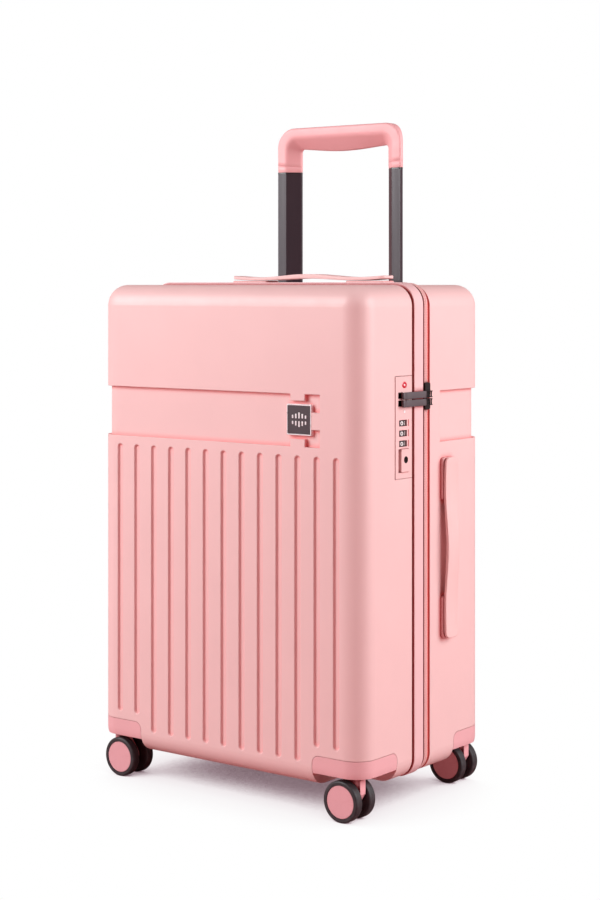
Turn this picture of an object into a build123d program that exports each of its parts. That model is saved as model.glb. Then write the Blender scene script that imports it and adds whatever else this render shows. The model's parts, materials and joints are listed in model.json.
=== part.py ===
from build123d import *
import os

os.makedirs("parts", exist_ok=True)

# A hard shell suitcase on four twin-wheel casters, in millimetres. +Z is up, +X is the case's right
# side, -Y its front, and the origin is on the floor under the middle of the body.

# The body's outer form
WIDTH = 430.0
DEPTH = 276.0
TOP = 650.0
BOTTOM = 38.0
R_FRONT = 28.0
R_REAR = 32.0
R_TOP = 27.0
R_BOTTOM = 25.0
WALL = 2.0
SIDE = WIDTH / 2
FRONT = -DEPTH / 2
REAR = DEPTH / 2
GAP = 0.3

# Where the halves meet, along Y
FRONT_EDGE = FRONT + 106.8
TRIM_FRONT = FRONT + 110.2
TRIM_REAR = FRONT + 130.0
BACK_EDGE = FRONT + 146.7
TRIM_PROUD = 1.6
TRIM_RISE = 1.8
TRIM_ROUND = 1.0
TRIM_LIP = 1.6
LIP_FRONT = -36.0
GASKET_INSET = 1.2

# Zip: each tape is a flat base with a raised strip along its edge, and the strips stand up at the top
ZIP_LINE = 0.3
ZIP_SLOT = 2.0
STRIP_FRONT = -3.4
STRIP_REAR = 4.0
STRIP_THICK = 1.6
STRIP_RISE = 2.6
TAPE_THICK = 1.2
HINGE_THICK = 1.2
HINGE_FRONT = 2.4
HINGE_REAR = 15.4
HINGE_LOW = 90.0
HINGE_HIGH = 600.0

# Recess band round both halves
BAND_LOW = 451.5
BAND_HIGH = 516.3
BAND_DEPTH = 5.0
BAND_END_X = 152.2
BAND_SETBACK = 23.0
TAB_X = 118.1
TAB_WIDTH = 22.2
TAB_LOWER_END = 461.0
TAB_UPPER_END = 508.0
TONGUE_X = 139.6
TONGUE_Z = 483.65
TONGUE_HEIGHT = 21.3

# Badge, standing on the floor of the front band
BADGE_X = 120.0
BADGE_Z = 484.7
BADGE_SIZE = 38.6
BADGE_RIM = 1.7
BADGE_PLAY = 0.1
BADGE_RIM_HEIGHT = 4.8
BADGE_PLATE_HEIGHT = 4.2

# Front grooves
GROOVE_COUNT = 13
GROOVE_PITCH = 29.5
GROOVE_WIDTH = 9.6
GROOVE_DEPTH = 2.5
GROOVE_SLOPE = 38.0
GROOVE_RUN = 0.78
GROOVE_TOP = 441.0
GROOVE_LOW = 66.0
GROOVE_SHORT_LOW = 87.0
SHORT_GROOVES = (0, 1, 11, 12)

# Corner brackets and casters
BRACKET_LENGTH = 74.6
BRACKET_TOP = 77.0
BRACKET_LOW = 55.0
BRACKET_FLOOR = 3.0
BRACKET_ROUND = 10.0
SWIVEL_X = SIDE - 22.0
SWIVEL_FRONT_Y = FRONT + 22.0
SWIVEL_REAR_Y = REAR - 22.0
WELL_RADIUS = 45.0
TRAIL = 12.0
WHEEL_RADIUS = 25.5
HUB_RADIUS = 20.3
WHEEL_INNER = 7.5
WHEEL_OUTER = 19.8
AXLE_RADIUS = 3.0
FORK_END_RADIUS = 12.5
FORK_HEAD = 16.0
FORK_HEAD_LOW = 34.0
FORK_TOP = 52.0
FORK_THICK = 11.0
PIN_RADIUS = 4.0

# Trolley: one tube's section is a six-sided bent slab, given here for the right-hand tube
TUBE_OUTER_X = 103.6
TUBE_FRONT_Y = 106.0
TUBE_REAR_Y = 124.4
TUBE_FACE = 14.2
TUBE_SLANT = 15.0
TUBE_EDGE = 5.6
TUBE_WALL = 1.2
TUBE_PLAY = 0.5
GUIDE_WALL = 1.5
UPPER_TUBE_LOW = 262.0
GRIP_LOW = 807.0
GRIP_TOP = 868.0
GRIP_UNDER = 839.0
GRIP_BELLY = 834.0
GRIP_CORNER = 27.0
BEZEL_FLOOR = 594.0
POCKET_FLOOR = 600.0

# Handles, both in line along the back half
STRAP_WIDTH = 29.0
HANDLE_Y = 46.6
MOUNT_ROUND = 5.0
TOP_MOUNT_INNER = 65.0
TOP_MOUNT_OUTER = 127.0
TOP_MOUNT_HEIGHT = 5.5
TOP_RIVET_X = 80.0
SIDE_HANDLE_Z = 317.0
SIDE_MOUNT_INNER = 60.0
SIDE_MOUNT_OUTER = 114.5
SIDE_MOUNT_HEIGHT = 5.2
SIDE_RIVET = 74.0

# Lock, in the right side of the front shell
LOCK_FRONT = FRONT + 70.0
LOCK_LOW = 411.6
LOCK_HIGH = 537.4
LOCK_GAP = 0.5
PLATE_FRONT = LOCK_FRONT + 1.0
PLATE_BACK = SIDE - WALL
CASE_BACK = 191.0
CASE_REAR = -36.5
CASE_MARGIN = 1.3
DIAL_X = SIDE - 9.0
DIAL_Y = -51.0
DIAL_RADIUS = 10.5
DIAL_SIDES = 10
DIAL_THICK = 6.6
DIAL_PIN = 2.0
DIAL_HEIGHTS = (454.5, 467.15, 479.8)
WINDOW_FRONT = -59.0
WINDOW_REAR = -42.0
WINDOW_HALF = 3.8
PULL_SLOT_FRONT = -61.0
PULL_SLOT_REAR = -51.0
PULL_SLOTS = ((500.3, 507.9), (510.2, 517.8))
BUTTON_HOLE_FRONT = -60.6
BUTTON_HOLE_REAR = -37.9
BUTTON_HOLE_LOW = 419.1
BUTTON_HOLE_HIGH = 448.0
BUTTON_FRONT = -56.2
BUTTON_FACE = SIDE + 1.6
BUTTON_STOP = 210.0
KEY_Y = -46.5
KEY_Z = 434.5
KEY_RADIUS = 4.2
KEYWAY_WIDTH = 1.2
KEYWAY_HEIGHT = 5.4
RESET_Y = -47.5
RESET_Z = 493.8
RESET_RADIUS = 1.9

# Zip sliders and their pull tabs, on the right side
SLIDER_WIDTH = 11.4
SLIDER_ROUND = 3.0
SLIDER_LIFT = 0.3
SLIDER_PLATE = 2.4
SLIDER_UNDER = 3.1
SLIDER_UNDER_PLATE = 2.2
SLIDER_STEM = 1.2
SLIDERS = (("upper", 509.0, 528.0, 509.2), ("lower", 494.0, 508.3, 499.5))
PULL_X = SIDE + 4.6
PULL_Y = 5.2
PULL_END = -57.9
PULL_NEAR = -7.1
PULL_THICK = 2.8
PULL_HEIGHT = 8.6
PULL_ROUND = 1.8
NECK_THICK = 2.4
NECK_LOW = 1.6
NECK_HEIGHT = 5.2
LUG_RADIUS = 1.7
LUG_THICK = 1.2
PULL_PIN = 0.9


def save(builder, name):
    """Label a finished piece and write its STEP file."""
    builder.part.label = name
    export_step(builder.part, f"parts/{name}.step")


def across(y):
    """A plane at depth y, drawn in X and Z, that extrudes towards the front."""
    return Plane.XZ.offset(-y)


def block(x0, x1, y0, y1, z0, z1):
    """A closed box between two corners."""
    with BuildPart() as box:
        with BuildSketch(Plane.XY.offset(z0)):
            with Locations(((x0 + x1) / 2, (y0 + y1) / 2)):
                Rectangle(x1 - x0, y1 - y0)
        extrude(amount=z1 - z0)
    return box.part


def case_form(inset):
    """The case's closed outer form, pulled in by inset on every side."""
    with BuildPart() as form:
        with BuildSketch(Plane.XY.offset(BOTTOM + inset)) as plan:
            Rectangle(WIDTH - 2 * inset, DEPTH - 2 * inset)
            fillet(plan.vertices().group_by(Axis.Y)[0], R_FRONT - inset)
            fillet(plan.vertices().group_by(Axis.Y)[-1], R_REAR - inset)
        extrude(amount=TOP - BOTTOM - 2 * inset)
        fillet(form.faces().sort_by(Axis.Z)[-1].edges(), R_TOP - inset)
        fillet(form.faces().sort_by(Axis.Z)[0].edges(), R_BOTTOM - inset)
    return form.part


def outside(zone, depth):
    """The part of a zone that lies outside the case form pulled in by depth."""
    inner = case_form(depth)
    with BuildPart() as layer:
        add(zone)
        add(inner, mode=Mode.SUBTRACT)
    return layer.part


def ring(y0, y1, outer_inset, inner_inset, rise=0.0):
    """A ring right round the case between two depths. Its outer line stands rise higher at the top."""
    with BuildPart() as band:
        for inset, lift, mode in ((outer_inset, rise, Mode.ADD), (inner_inset, 0.0, Mode.SUBTRACT)):
            with BuildSketch(across(y1)) as outline:
                with Locations((0, (TOP + BOTTOM + lift) / 2)):
                    Rectangle(WIDTH - 2 * inset, TOP - BOTTOM + lift - 2 * inset)
                fillet(outline.vertices().group_by(Axis.Y)[0], R_BOTTOM - inset)
                fillet(outline.vertices().group_by(Axis.Y)[-1], R_TOP - inset)
            extrude(amount=y1 - y0, mode=mode)
    return band.part


def corner_zone(sx, sy, grow):
    """The space that a corner bracket takes: two outlines with a rounded upper end, crossed."""
    length = BRACKET_LENGTH + grow
    height = BRACKET_TOP + grow
    margin = 5.0
    span = length + margin
    with BuildPart() as zone:
        with BuildSketch(Plane.XZ) as from_front:
            with Locations((sx * (SIDE + margin - span / 2), height / 2)):
                Rectangle(span, height)
            inner_end = from_front.vertices().group_by(Axis.Y)[-1].sort_by(Axis.X)
            fillet(inner_end[0 if sx > 0 else -1], BRACKET_ROUND + grow)
        extrude(amount=DEPTH, both=True)
        with BuildSketch(Plane.YZ) as from_side:
            with Locations((sy * (REAR + margin - span / 2), height / 2)):
                Rectangle(span, height)
            inner_end = from_side.vertices().group_by(Axis.Y)[-1].sort_by(Axis.X)
            fillet(inner_end[0 if sy > 0 else -1], BRACKET_ROUND + grow)
        extrude(amount=WIDTH, both=True, mode=Mode.INTERSECT)
    return zone.part


def wheel_well(sx, sy, grow, top):
    """The space under a bracket in which a caster swings round."""
    swivel_y = SWIVEL_REAR_Y if sy > 0 else SWIVEL_FRONT_Y
    length = BRACKET_LENGTH + grow
    low = BOTTOM - 10
    with BuildPart() as well:
        with BuildSketch(Plane.XY.offset(low)):
            with Locations((sx * (SIDE - length / 2 + 5), sy * (REAR - length / 2 + 5))):
                Rectangle(length + 10, length + 10)
            with Locations((sx * SWIVEL_X, swivel_y)):
                Circle(WELL_RADIUS + grow)
        extrude(amount=top - low)
    return well.part


OUTER = case_form(0)
WELL_TOP = BRACKET_LOW + BRACKET_FLOOR + GAP


def half_cavity(sy, pads):
    """What is hollow inside one half's wall, with the wall led round its recesses and wells."""
    hollow = case_form(WALL)
    cuts = list(pads)
    for sx in (-1, 1):
        cuts.append(outside(corner_zone(sx, sy, WALL), 2 * WALL + GAP))
        cuts.append(wheel_well(sx, sy, WALL, WELL_TOP + WALL))
    with BuildPart() as cavity:
        add(hollow)
        for cut in cuts:
            add(cut, mode=Mode.SUBTRACT)
    return cavity.part


def bracket_cuts(sy):
    """What one half's shell gives up to its two brackets, wells and swivel pins."""
    swivel_y = SWIVEL_REAR_Y if sy > 0 else SWIVEL_FRONT_Y
    cuts = []
    for sx in (-1, 1):
        cuts.append(outside(corner_zone(sx, sy, 0), WALL + GAP))
        cuts.append(wheel_well(sx, sy, 0, WELL_TOP))
        with BuildPart() as pin_hole:
            with BuildSketch(Plane.XY.offset(BRACKET_LOW)):
                with Locations((sx * SWIVEL_X, swivel_y)):
                    Circle(PIN_RADIUS + GAP)
            extrude(amount=12)
        cuts.append(pin_hole.part)
    return cuts


def grooves(grow):
    """The upright grooves of the front face as one zone, with sides that slope out to the face."""
    deep = GROOVE_DEPTH + grow + 1
    grown = 2 * (grow - deep * GROOVE_RUN)
    with BuildPart() as zone:
        with BuildSketch(across(FRONT + deep)):
            for i in range(GROOVE_COUNT):
                low = GROOVE_SHORT_LOW if i in SHORT_GROOVES else GROOVE_LOW
                length = GROOVE_TOP - low + grown
                x = (i - (GROOVE_COUNT - 1) / 2) * GROOVE_PITCH
                with Locations((x, (GROOVE_TOP + low) / 2)):
                    SlotOverall(length, GROOVE_WIDTH + grown, rotation=90)
        extrude(amount=deep + 1, taper=-GROOVE_SLOPE)
    return zone.part


def front_band(grow):
    """The front half's recess band, with the two tabs and the tongue that reach into it."""
    with BuildPart() as zone:
        with BuildSketch(across(FRONT_EDGE - BAND_SETBACK + grow)):
            height = BAND_HIGH - BAND_LOW + 2 * grow
            left = -SIDE - 10
            right = BAND_END_X + grow
            with Locations(((left + right) / 2, (BAND_LOW + BAND_HIGH) / 2)):
                Rectangle(right - left, height)
            if grow == 0:
                with Locations((TAB_X, (TAB_UPPER_END + BAND_HIGH) / 2)):
                    Rectangle(TAB_WIDTH, BAND_HIGH - TAB_UPPER_END, mode=Mode.SUBTRACT)
                with Locations((TAB_X, (TAB_LOWER_END + BAND_LOW) / 2)):
                    Rectangle(TAB_WIDTH, TAB_LOWER_END - BAND_LOW, mode=Mode.SUBTRACT)
                with Locations(((TONGUE_X + BAND_END_X) / 2, TONGUE_Z)):
                    Rectangle(BAND_END_X - TONGUE_X, TONGUE_HEIGHT, mode=Mode.SUBTRACT)
        extrude(amount=FRONT_EDGE - BAND_SETBACK + grow - FRONT + 10)
    return zone.part


# ---- front shell ----
front_pads = [
    outside(front_band(WALL), BAND_DEPTH + WALL),
    outside(grooves(WALL), GROOVE_DEPTH + WALL),
]
front_hollow = half_cavity(-1, front_pads)
front_cuts = bracket_cuts(-1)
front_cuts.append(outside(front_band(0), BAND_DEPTH))
front_cuts.append(outside(grooves(0), GROOVE_DEPTH))
front_cuts.append(
    block(SIDE - 12, SIDE + 5, LOCK_FRONT - LOCK_GAP, 0, LOCK_LOW - LOCK_GAP, LOCK_HIGH + LOCK_GAP)
)
with BuildPart() as front_shell:
    add(OUTER)
    add(front_hollow, mode=Mode.SUBTRACT)
    for cut in front_cuts:
        add(cut, mode=Mode.SUBTRACT)
    split(bisect_by=across(FRONT_EDGE), keep=Keep.TOP)
save(front_shell, "front_shell")

# ---- back shell ----
BEZEL_X = TUBE_OUTER_X + 8.4
BEZEL_FRONT = 100.0
BEZEL_REAR = 130.5
band_front = BACK_EDGE + BAND_SETBACK
back_pads = [
    outside(
        block(-SIDE - 9, SIDE + 9, band_front - WALL, REAR + 9, BAND_LOW - WALL, BAND_HIGH + WALL),
        BAND_DEPTH + WALL,
    )
]
back_hollow = half_cavity(1, back_pads)
back_cuts = bracket_cuts(1)
back_cuts.append(
    outside(block(-SIDE - 9, SIDE + 9, band_front, REAR + 9, BAND_LOW, BAND_HIGH), BAND_DEPTH)
)
back_cuts.append(
    block(-BEZEL_X - GAP, BEZEL_X + GAP, BEZEL_FRONT - GAP, BEZEL_REAR + GAP, POCKET_FLOOR, TOP + 5)
)
with BuildPart() as back_shell:
    add(OUTER)
    add(back_hollow, mode=Mode.SUBTRACT)
    for cut in back_cuts:
        add(cut, mode=Mode.SUBTRACT)
    split(bisect_by=across(BACK_EDGE), keep=Keep.BOTTOM)
save(back_shell, "back_shell")

# ---- corner brackets and swivel pins, a left and a right one in each node ----
inner_form = case_form(WALL)
for sy, end in ((-1, "front"), (1, "rear")):
    swivel_y = SWIVEL_REAR_Y if sy > 0 else SWIVEL_FRONT_Y
    zones = [corner_zone(sx, sy, -GAP) for sx in (-1, 1)]
    with BuildPart() as brackets:
        for zone in zones:
            add(zone)
        add(OUTER, mode=Mode.INTERSECT)
        split(bisect_by=Plane.XY.offset(BRACKET_LOW), keep=Keep.TOP)
    with BuildPart() as bracket_room:
        add(inner_form)
        split(bisect_by=Plane.XY.offset(BRACKET_LOW + BRACKET_FLOOR), keep=Keep.TOP)
    with BuildPart() as corner_brackets:
        add(brackets.part)
        add(bracket_room.part, mode=Mode.SUBTRACT)
        with BuildSketch(Plane.XY.offset(BRACKET_LOW - 2.5)):
            with Locations((-SWIVEL_X, swivel_y), (SWIVEL_X, swivel_y)):
                Circle(10)
        extrude(amount=2.5)
        with BuildSketch(Plane.XY.offset(BRACKET_LOW - 5)):
            with Locations((-SWIVEL_X, swivel_y), (SWIVEL_X, swivel_y)):
                Circle(PIN_RADIUS)
        extrude(amount=15, mode=Mode.SUBTRACT)
    save(corner_brackets, f"{end}_brackets")
    with BuildPart() as swivel_pins:
        with BuildSketch(Plane.XY.offset(37)):
            with Locations((-SWIVEL_X, swivel_y), (SWIVEL_X, swivel_y)):
                Circle(PIN_RADIUS)
        extrude(amount=WELL_TOP + WALL - 37)
        with BuildSketch(Plane.XY.offset(WELL_TOP + WALL)):
            with Locations((-SWIVEL_X, swivel_y), (SWIVEL_X, swivel_y)):
                RegularPolygon(6.8, 6)
        extrude(amount=2.4)
    save(swivel_pins, f"{end}_swivel_pins")

# ---- frame trim, its gasket and the two halves of the zip ----
trim_ring = ring(TRIM_FRONT, TRIM_REAR, -TRIM_PROUD, WALL, TRIM_RISE)
trim_lip = ring(LIP_FRONT, TRIM_REAR, WALL, WALL + TRIM_LIP)
with BuildPart() as frame_trim:
    add(trim_ring)
    rims = frame_trim.faces().filter_by(Axis.Y)
    fillet([edge for rim in rims for edge in rim.outer_wire().edges()], TRIM_ROUND)
    add(trim_lip)
save(frame_trim, "frame_trim")

gasket_ring = ring(FRONT_EDGE, TRIM_FRONT, GASKET_INSET, WALL)
with BuildPart() as seam_gasket:
    add(gasket_ring)
save(seam_gasket, "seam_gasket")


def zip_tape(base_ends, strip_ends):
    """One half's tape: its flat base, and the raised strip along the edge that closes."""
    base = ring(*base_ends, STRIP_THICK, STRIP_THICK + TAPE_THICK)
    strip = ring(*strip_ends, 0.0, STRIP_THICK, STRIP_RISE)
    with BuildPart() as tape:
        add(base)
        add(strip)
    return tape


slot_front = ZIP_LINE - ZIP_SLOT / 2
slot_rear = ZIP_LINE + ZIP_SLOT / 2
save(zip_tape((TRIM_REAR, slot_front), (STRIP_FRONT, slot_front)), "front_zip_tape")
save(zip_tape((slot_rear, BACK_EDGE), (slot_rear, STRIP_REAR)), "back_zip_tape")

hinge_x = -SIDE + STRIP_THICK + TAPE_THICK
hinge_sheet = block(hinge_x, hinge_x + HINGE_THICK, HINGE_FRONT, HINGE_REAR, HINGE_LOW, HINGE_HIGH)
with BuildPart() as fabric_hinge:
    add(hinge_sheet)
save(fabric_hinge, "fabric_hinge")

# ---- badge ----
BAND_FACE = FRONT + BAND_DEPTH
BADGE_INNER = BADGE_SIZE - 2 * BADGE_RIM
with BuildPart() as badge_rim:
    with BuildSketch(across(BAND_FACE)):
        with Locations((BADGE_X, BADGE_Z)):
            RectangleRounded(BADGE_SIZE, BADGE_SIZE, 2.0)
            RectangleRounded(BADGE_INNER, BADGE_INNER, 1.0, mode=Mode.SUBTRACT)
    extrude(amount=BADGE_RIM_HEIGHT)
    chamfer(badge_rim.faces().sort_by(Axis.Y)[0].outer_wire().edges(), 0.6)
save(badge_rim, "badge_rim")

with BuildPart() as badge_plate:
    with BuildSketch(across(BAND_FACE)):
        with Locations((BADGE_X, BADGE_Z)):
            RectangleRounded(BADGE_INNER - BADGE_PLAY, BADGE_INNER - BADGE_PLAY, 0.95)
    extrude(amount=BADGE_PLATE_HEIGHT)
save(badge_plate, "badge_plate")

# ---- lock ----
hole_places = [
    (WINDOW_FRONT, WINDOW_REAR, height - WINDOW_HALF, height + WINDOW_HALF) for height in DIAL_HEIGHTS
]
hole_places += [(PULL_SLOT_FRONT, PULL_SLOT_REAR, low, high) for low, high in PULL_SLOTS]
hole_places.append((BUTTON_HOLE_FRONT, BUTTON_HOLE_REAR, BUTTON_HOLE_LOW, BUTTON_HOLE_HIGH))
plate_holes = [block(PLATE_BACK - 1, SIDE + 1, *place) for place in hole_places]
plate_zone = block(PLATE_BACK, SIDE + 1, PLATE_FRONT, FRONT_EDGE, LOCK_LOW, LOCK_HIGH)
with BuildPart() as lock_plate:
    add(plate_zone)
    add(OUTER, mode=Mode.INTERSECT)
    for hole in plate_holes:
        add(hole, mode=Mode.SUBTRACT)
    with BuildSketch(Plane.YZ.offset(PLATE_BACK - 1)):
        with Locations((RESET_Y, RESET_Z)):
            Circle(RESET_RADIUS + 0.1)
    extrude(amount=WALL + 2, mode=Mode.SUBTRACT)
save(lock_plate, "lock_plate")

case_low = LOCK_LOW + CASE_MARGIN
case_high = LOCK_HIGH - CASE_MARGIN
CASE_WALL = 1.5
case_block = block(CASE_BACK, PLATE_BACK, LOCK_FRONT, CASE_REAR, case_low, case_high)
case_hollow = block(
    CASE_BACK + CASE_WALL,
    PLATE_BACK + 1,
    LOCK_FRONT + 1.2,
    CASE_REAR - 1.2,
    case_low + CASE_WALL,
    case_high - CASE_WALL,
)
WEB_LEVELS = (448.0, 488.5)
WEB_FACE = 209.0
webs = [block(CASE_BACK, WEB_FACE, -56, -46, low, low + CASE_WALL) for low in WEB_LEVELS]
with BuildPart() as lock_case:
    add(case_block)
    add(case_hollow, mode=Mode.SUBTRACT)
    for web in webs:
        add(web)
    with BuildSketch(Plane.XY.offset(WEB_LEVELS[0] + 1)):
        with Locations((DIAL_X, DIAL_Y)):
            Circle(DIAL_PIN)
    extrude(amount=WEB_LEVELS[1] - WEB_LEVELS[0] - 0.5)
save(lock_case, "lock_case")

for number, height in enumerate(DIAL_HEIGHTS, start=1):
    with BuildPart() as dial:
        with BuildSketch(Plane.XY.offset(height - DIAL_THICK / 2)):
            with Locations((DIAL_X, DIAL_Y)):
                RegularPolygon(DIAL_RADIUS, DIAL_SIDES)
                Circle(DIAL_PIN + 0.06, mode=Mode.SUBTRACT)
        extrude(amount=DIAL_THICK)
        for face in (dial.faces().sort_by(Axis.Z)[0], dial.faces().sort_by(Axis.Z)[-1]):
            chamfer(face.outer_wire().edges(), 0.5)
    save(dial, f"lock_dial_{number}")

FLANGE_FRONT = -62.0
button_rear = BUTTON_HOLE_REAR - GAP
button_high = BUTTON_HOLE_HIGH - GAP
flange = block(BUTTON_STOP - 2, BUTTON_STOP, FLANGE_FRONT, button_rear, BUTTON_HOLE_LOW - 1.2, button_high)
with BuildPart() as lock_button:
    add(flange)
    with BuildSketch(Plane.YZ.offset(BUTTON_STOP)):
        with Locations(((BUTTON_FRONT + button_rear) / 2, (BUTTON_HOLE_LOW + BUTTON_HOLE_HIGH) / 2)):
            RectangleRounded(button_rear - BUTTON_FRONT, BUTTON_HOLE_HIGH - BUTTON_HOLE_LOW - 2 * GAP, 1.5)
    extrude(amount=BUTTON_FACE - BUTTON_STOP)
    fillet(lock_button.faces().sort_by(Axis.X)[-1].outer_wire().edges(), 0.8)
    with BuildSketch(Plane.YZ.offset(BUTTON_STOP - 3)):
        with Locations((KEY_Y, KEY_Z)):
            Circle(KEY_RADIUS + 0.06)
    extrude(amount=12, mode=Mode.SUBTRACT)
save(lock_button, "lock_button")

with BuildPart() as key_cylinder:
    with BuildSketch(Plane.YZ.offset(BUTTON_STOP - 3.5)):
        with Locations((KEY_Y, KEY_Z)):
            Circle(KEY_RADIUS)
    extrude(amount=BUTTON_FACE - BUTTON_STOP + 3.4)
    with BuildSketch(Plane.YZ.offset(BUTTON_STOP + 2)):
        with Locations((KEY_Y, KEY_Z)):
            Rectangle(KEYWAY_WIDTH, KEYWAY_HEIGHT)
    extrude(amount=8, mode=Mode.SUBTRACT)
save(key_cylinder, "key_cylinder")

with BuildPart() as reset_pin:
    with BuildSketch(Plane.YZ.offset(208)):
        with Locations((RESET_Y, RESET_Z)):
            Circle(RESET_RADIUS)
    extrude(amount=SIDE - 208 + GAP)
    with BuildSketch(Plane.YZ.offset(208)):
        with Locations((RESET_Y, RESET_Z)):
            Circle(RESET_RADIUS + 1.2)
    extrude(amount=1.5)
save(reset_pin, "reset_pin")

# ---- linings ----
LINING_INSET = 7.5
LINING_THICK = 1.0
LINING_FLOOR = 98.8


def lined_room(sy, extra):
    """The space inside a half's lining, pulled in by extra."""
    room = case_form(LINING_INSET + extra)
    cuts = [wheel_well(sx, sy, WALL + 0.5 + extra, WELL_TOP + WALL + 3 + extra) for sx in (-1, 1)]
    if sy > 0:
        cuts.append(block(-SIDE, SIDE, LINING_FLOOR - extra, REAR, 0, TOP))
    else:
        lock_back = CASE_BACK - 0.5 - extra
        lock_front = LOCK_FRONT - 1 - extra
        cuts.append(block(lock_back, SIDE, lock_front, 20, LOCK_LOW - extra, LOCK_HIGH + extra))
    with BuildPart() as space:
        add(room)
        for cut in cuts:
            add(cut, mode=Mode.SUBTRACT)
    return space.part


for sy, name, edge in ((-1, "front_lining", -10.0), (1, "back_lining", 12.0)):
    room_outer = lined_room(sy, 0)
    room_inner = lined_room(sy, LINING_THICK)
    with BuildPart() as lining:
        add(room_outer)
        add(room_inner, mode=Mode.SUBTRACT)
        split(bisect_by=across(edge), keep=Keep.TOP if sy < 0 else Keep.BOTTOM)
    save(lining, name)

# ---- compression straps, lying on the floor of the back half, and their buckle ----
STRAP_Z = 345.0
FLOOR_Y = LINING_FLOOR - LINING_THICK
with BuildPart() as compression_straps:
    with BuildSketch(across(FLOOR_Y - 0.2)):
        for turn in (52, -52):
            with Locations((0, STRAP_Z)):
                Rectangle(530, 25, rotation=turn)
    extrude(amount=1.5)
save(compression_straps, "compression_straps")

with BuildPart() as strap_buckle:
    for side in (-1, 1):
        with BuildSketch(across(FLOOR_Y - 1.9)):
            with Locations((side * 15.2, STRAP_Z)):
                RectangleRounded(30, 38, 4)
        extrude(amount=6)
    fillet(strap_buckle.faces().sort_by(Axis.Y)[0].edges(), 1.5)
save(strap_buckle, "strap_buckle")


# ---- handles ----
def handle_profile(half, base, tip, dip_at, dip, peak, thick, mid_thick):
    """A handle strap seen from its side: tips that lift, a dip onto each mount and a raised middle."""
    with BuildSketch() as profile:
        with BuildLine():
            over = Spline(
                (-half, base + tip + thick),
                (-dip_at, base + dip + thick),
                (0, base + peak + mid_thick),
                (dip_at, base + dip + thick),
                (half, base + tip + thick),
            )
            under = Spline(
                (-half, base + tip),
                (-dip_at, base + dip),
                (0, base + peak),
                (dip_at, base + dip),
                (half, base + tip),
            )
            Line(over @ 0, under @ 0)
            Line(over @ 1, under @ 1)
        make_face()
    return profile.sketch


top_mount_middle = (TOP_MOUNT_INNER + TOP_MOUNT_OUTER) / 2
with BuildPart() as top_handle_mounts:
    for side in (-1, 1):
        with BuildSketch(Plane.XY.offset(TOP)):
            with Locations((side * top_mount_middle, HANDLE_Y)):
                RectangleRounded(TOP_MOUNT_OUTER - TOP_MOUNT_INNER, STRAP_WIDTH, MOUNT_ROUND)
        extrude(amount=TOP_MOUNT_HEIGHT)
        with BuildSketch(Plane.XY.offset(TOP + TOP_MOUNT_HEIGHT)):
            with Locations((side * TOP_RIVET_X, HANDLE_Y)):
                Circle(6)
        extrude(amount=2.4)
save(top_handle_mounts, "top_handle_mounts")

top_profile = handle_profile(TOP_MOUNT_OUTER, TOP, 8.2, TOP_RIVET_X, 6.0, 8.6, 4.3, 6.0)
with BuildPart() as top_handle_strap:
    with BuildSketch(across(HANDLE_Y + STRAP_WIDTH / 2)):
        add(top_profile)
    extrude(amount=STRAP_WIDTH)
save(top_handle_strap, "top_handle_strap")

side_mount_middle = (SIDE_MOUNT_INNER + SIDE_MOUNT_OUTER) / 2
with BuildPart() as side_handle_mounts:
    for way in (-1, 1):
        with BuildSketch(Plane.YZ.offset(SIDE)):
            with Locations((HANDLE_Y, SIDE_HANDLE_Z + way * side_mount_middle)):
                RectangleRounded(STRAP_WIDTH, SIDE_MOUNT_OUTER - SIDE_MOUNT_INNER, MOUNT_ROUND)
        extrude(amount=SIDE_MOUNT_HEIGHT)
        with BuildSketch(Plane.YZ.offset(SIDE + SIDE_MOUNT_HEIGHT)):
            with Locations((HANDLE_Y, SIDE_HANDLE_Z + way * SIDE_RIVET)):
                Circle(5)
        extrude(amount=2)
save(side_handle_mounts, "side_handle_mounts")

side_edge = (SIDE, HANDLE_Y - STRAP_WIDTH / 2, SIDE_HANDLE_Z)
upright = Plane(origin=side_edge, x_dir=(0, 0, 1), z_dir=(0, 1, 0))
side_profile = handle_profile(SIDE_MOUNT_OUTER, 0, 6.7, SIDE_RIVET, 5.7, 8.6, 3.6, 4.2)
with BuildPart() as side_handle_strap:
    with BuildSketch(upright):
        add(side_profile)
    extrude(amount=STRAP_WIDTH)
save(side_handle_strap, "side_handle_strap")


# ---- trolley ----
def tube_section(grow):
    """Both tubes' sections, each grown by grow on every side."""
    inner_x = TUBE_OUTER_X - TUBE_FACE
    slant_y = TUBE_FRONT_Y + TUBE_SLANT
    edge_y = TUBE_FRONT_Y + TUBE_EDGE
    corners = (
        (TUBE_OUTER_X, TUBE_FRONT_Y),
        (inner_x, TUBE_FRONT_Y),
        (inner_x - TUBE_SLANT, slant_y),
        (inner_x - TUBE_SLANT, TUBE_REAR_Y),
        (TUBE_OUTER_X - (TUBE_REAR_Y - edge_y), TUBE_REAR_Y),
        (TUBE_OUTER_X, edge_y),
    )
    with BuildSketch() as section:
        for side in (1, -1):
            with BuildLine():
                Polyline(*[(side * x, y) for x, y in corners], close=True)
            make_face()
        if grow:
            offset(amount=grow, kind=Kind.INTERSECTION)
    return section.sketch


def tube_pair(outer, inner, low, high):
    """Two hollow tubes between two heights."""
    skin = tube_section(outer)
    core = tube_section(inner)
    with BuildPart() as pair:
        with BuildSketch(Plane.XY.offset(low)):
            add(skin)
            add(core, mode=Mode.SUBTRACT)
        extrude(amount=high - low)
    return pair


MIDDLE_INNER = TUBE_PLAY
MIDDLE_OUTER = MIDDLE_INNER + TUBE_WALL
GUIDE_INNER = MIDDLE_OUTER + TUBE_PLAY
GUIDE_OUTER = GUIDE_INNER + GUIDE_WALL

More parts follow.
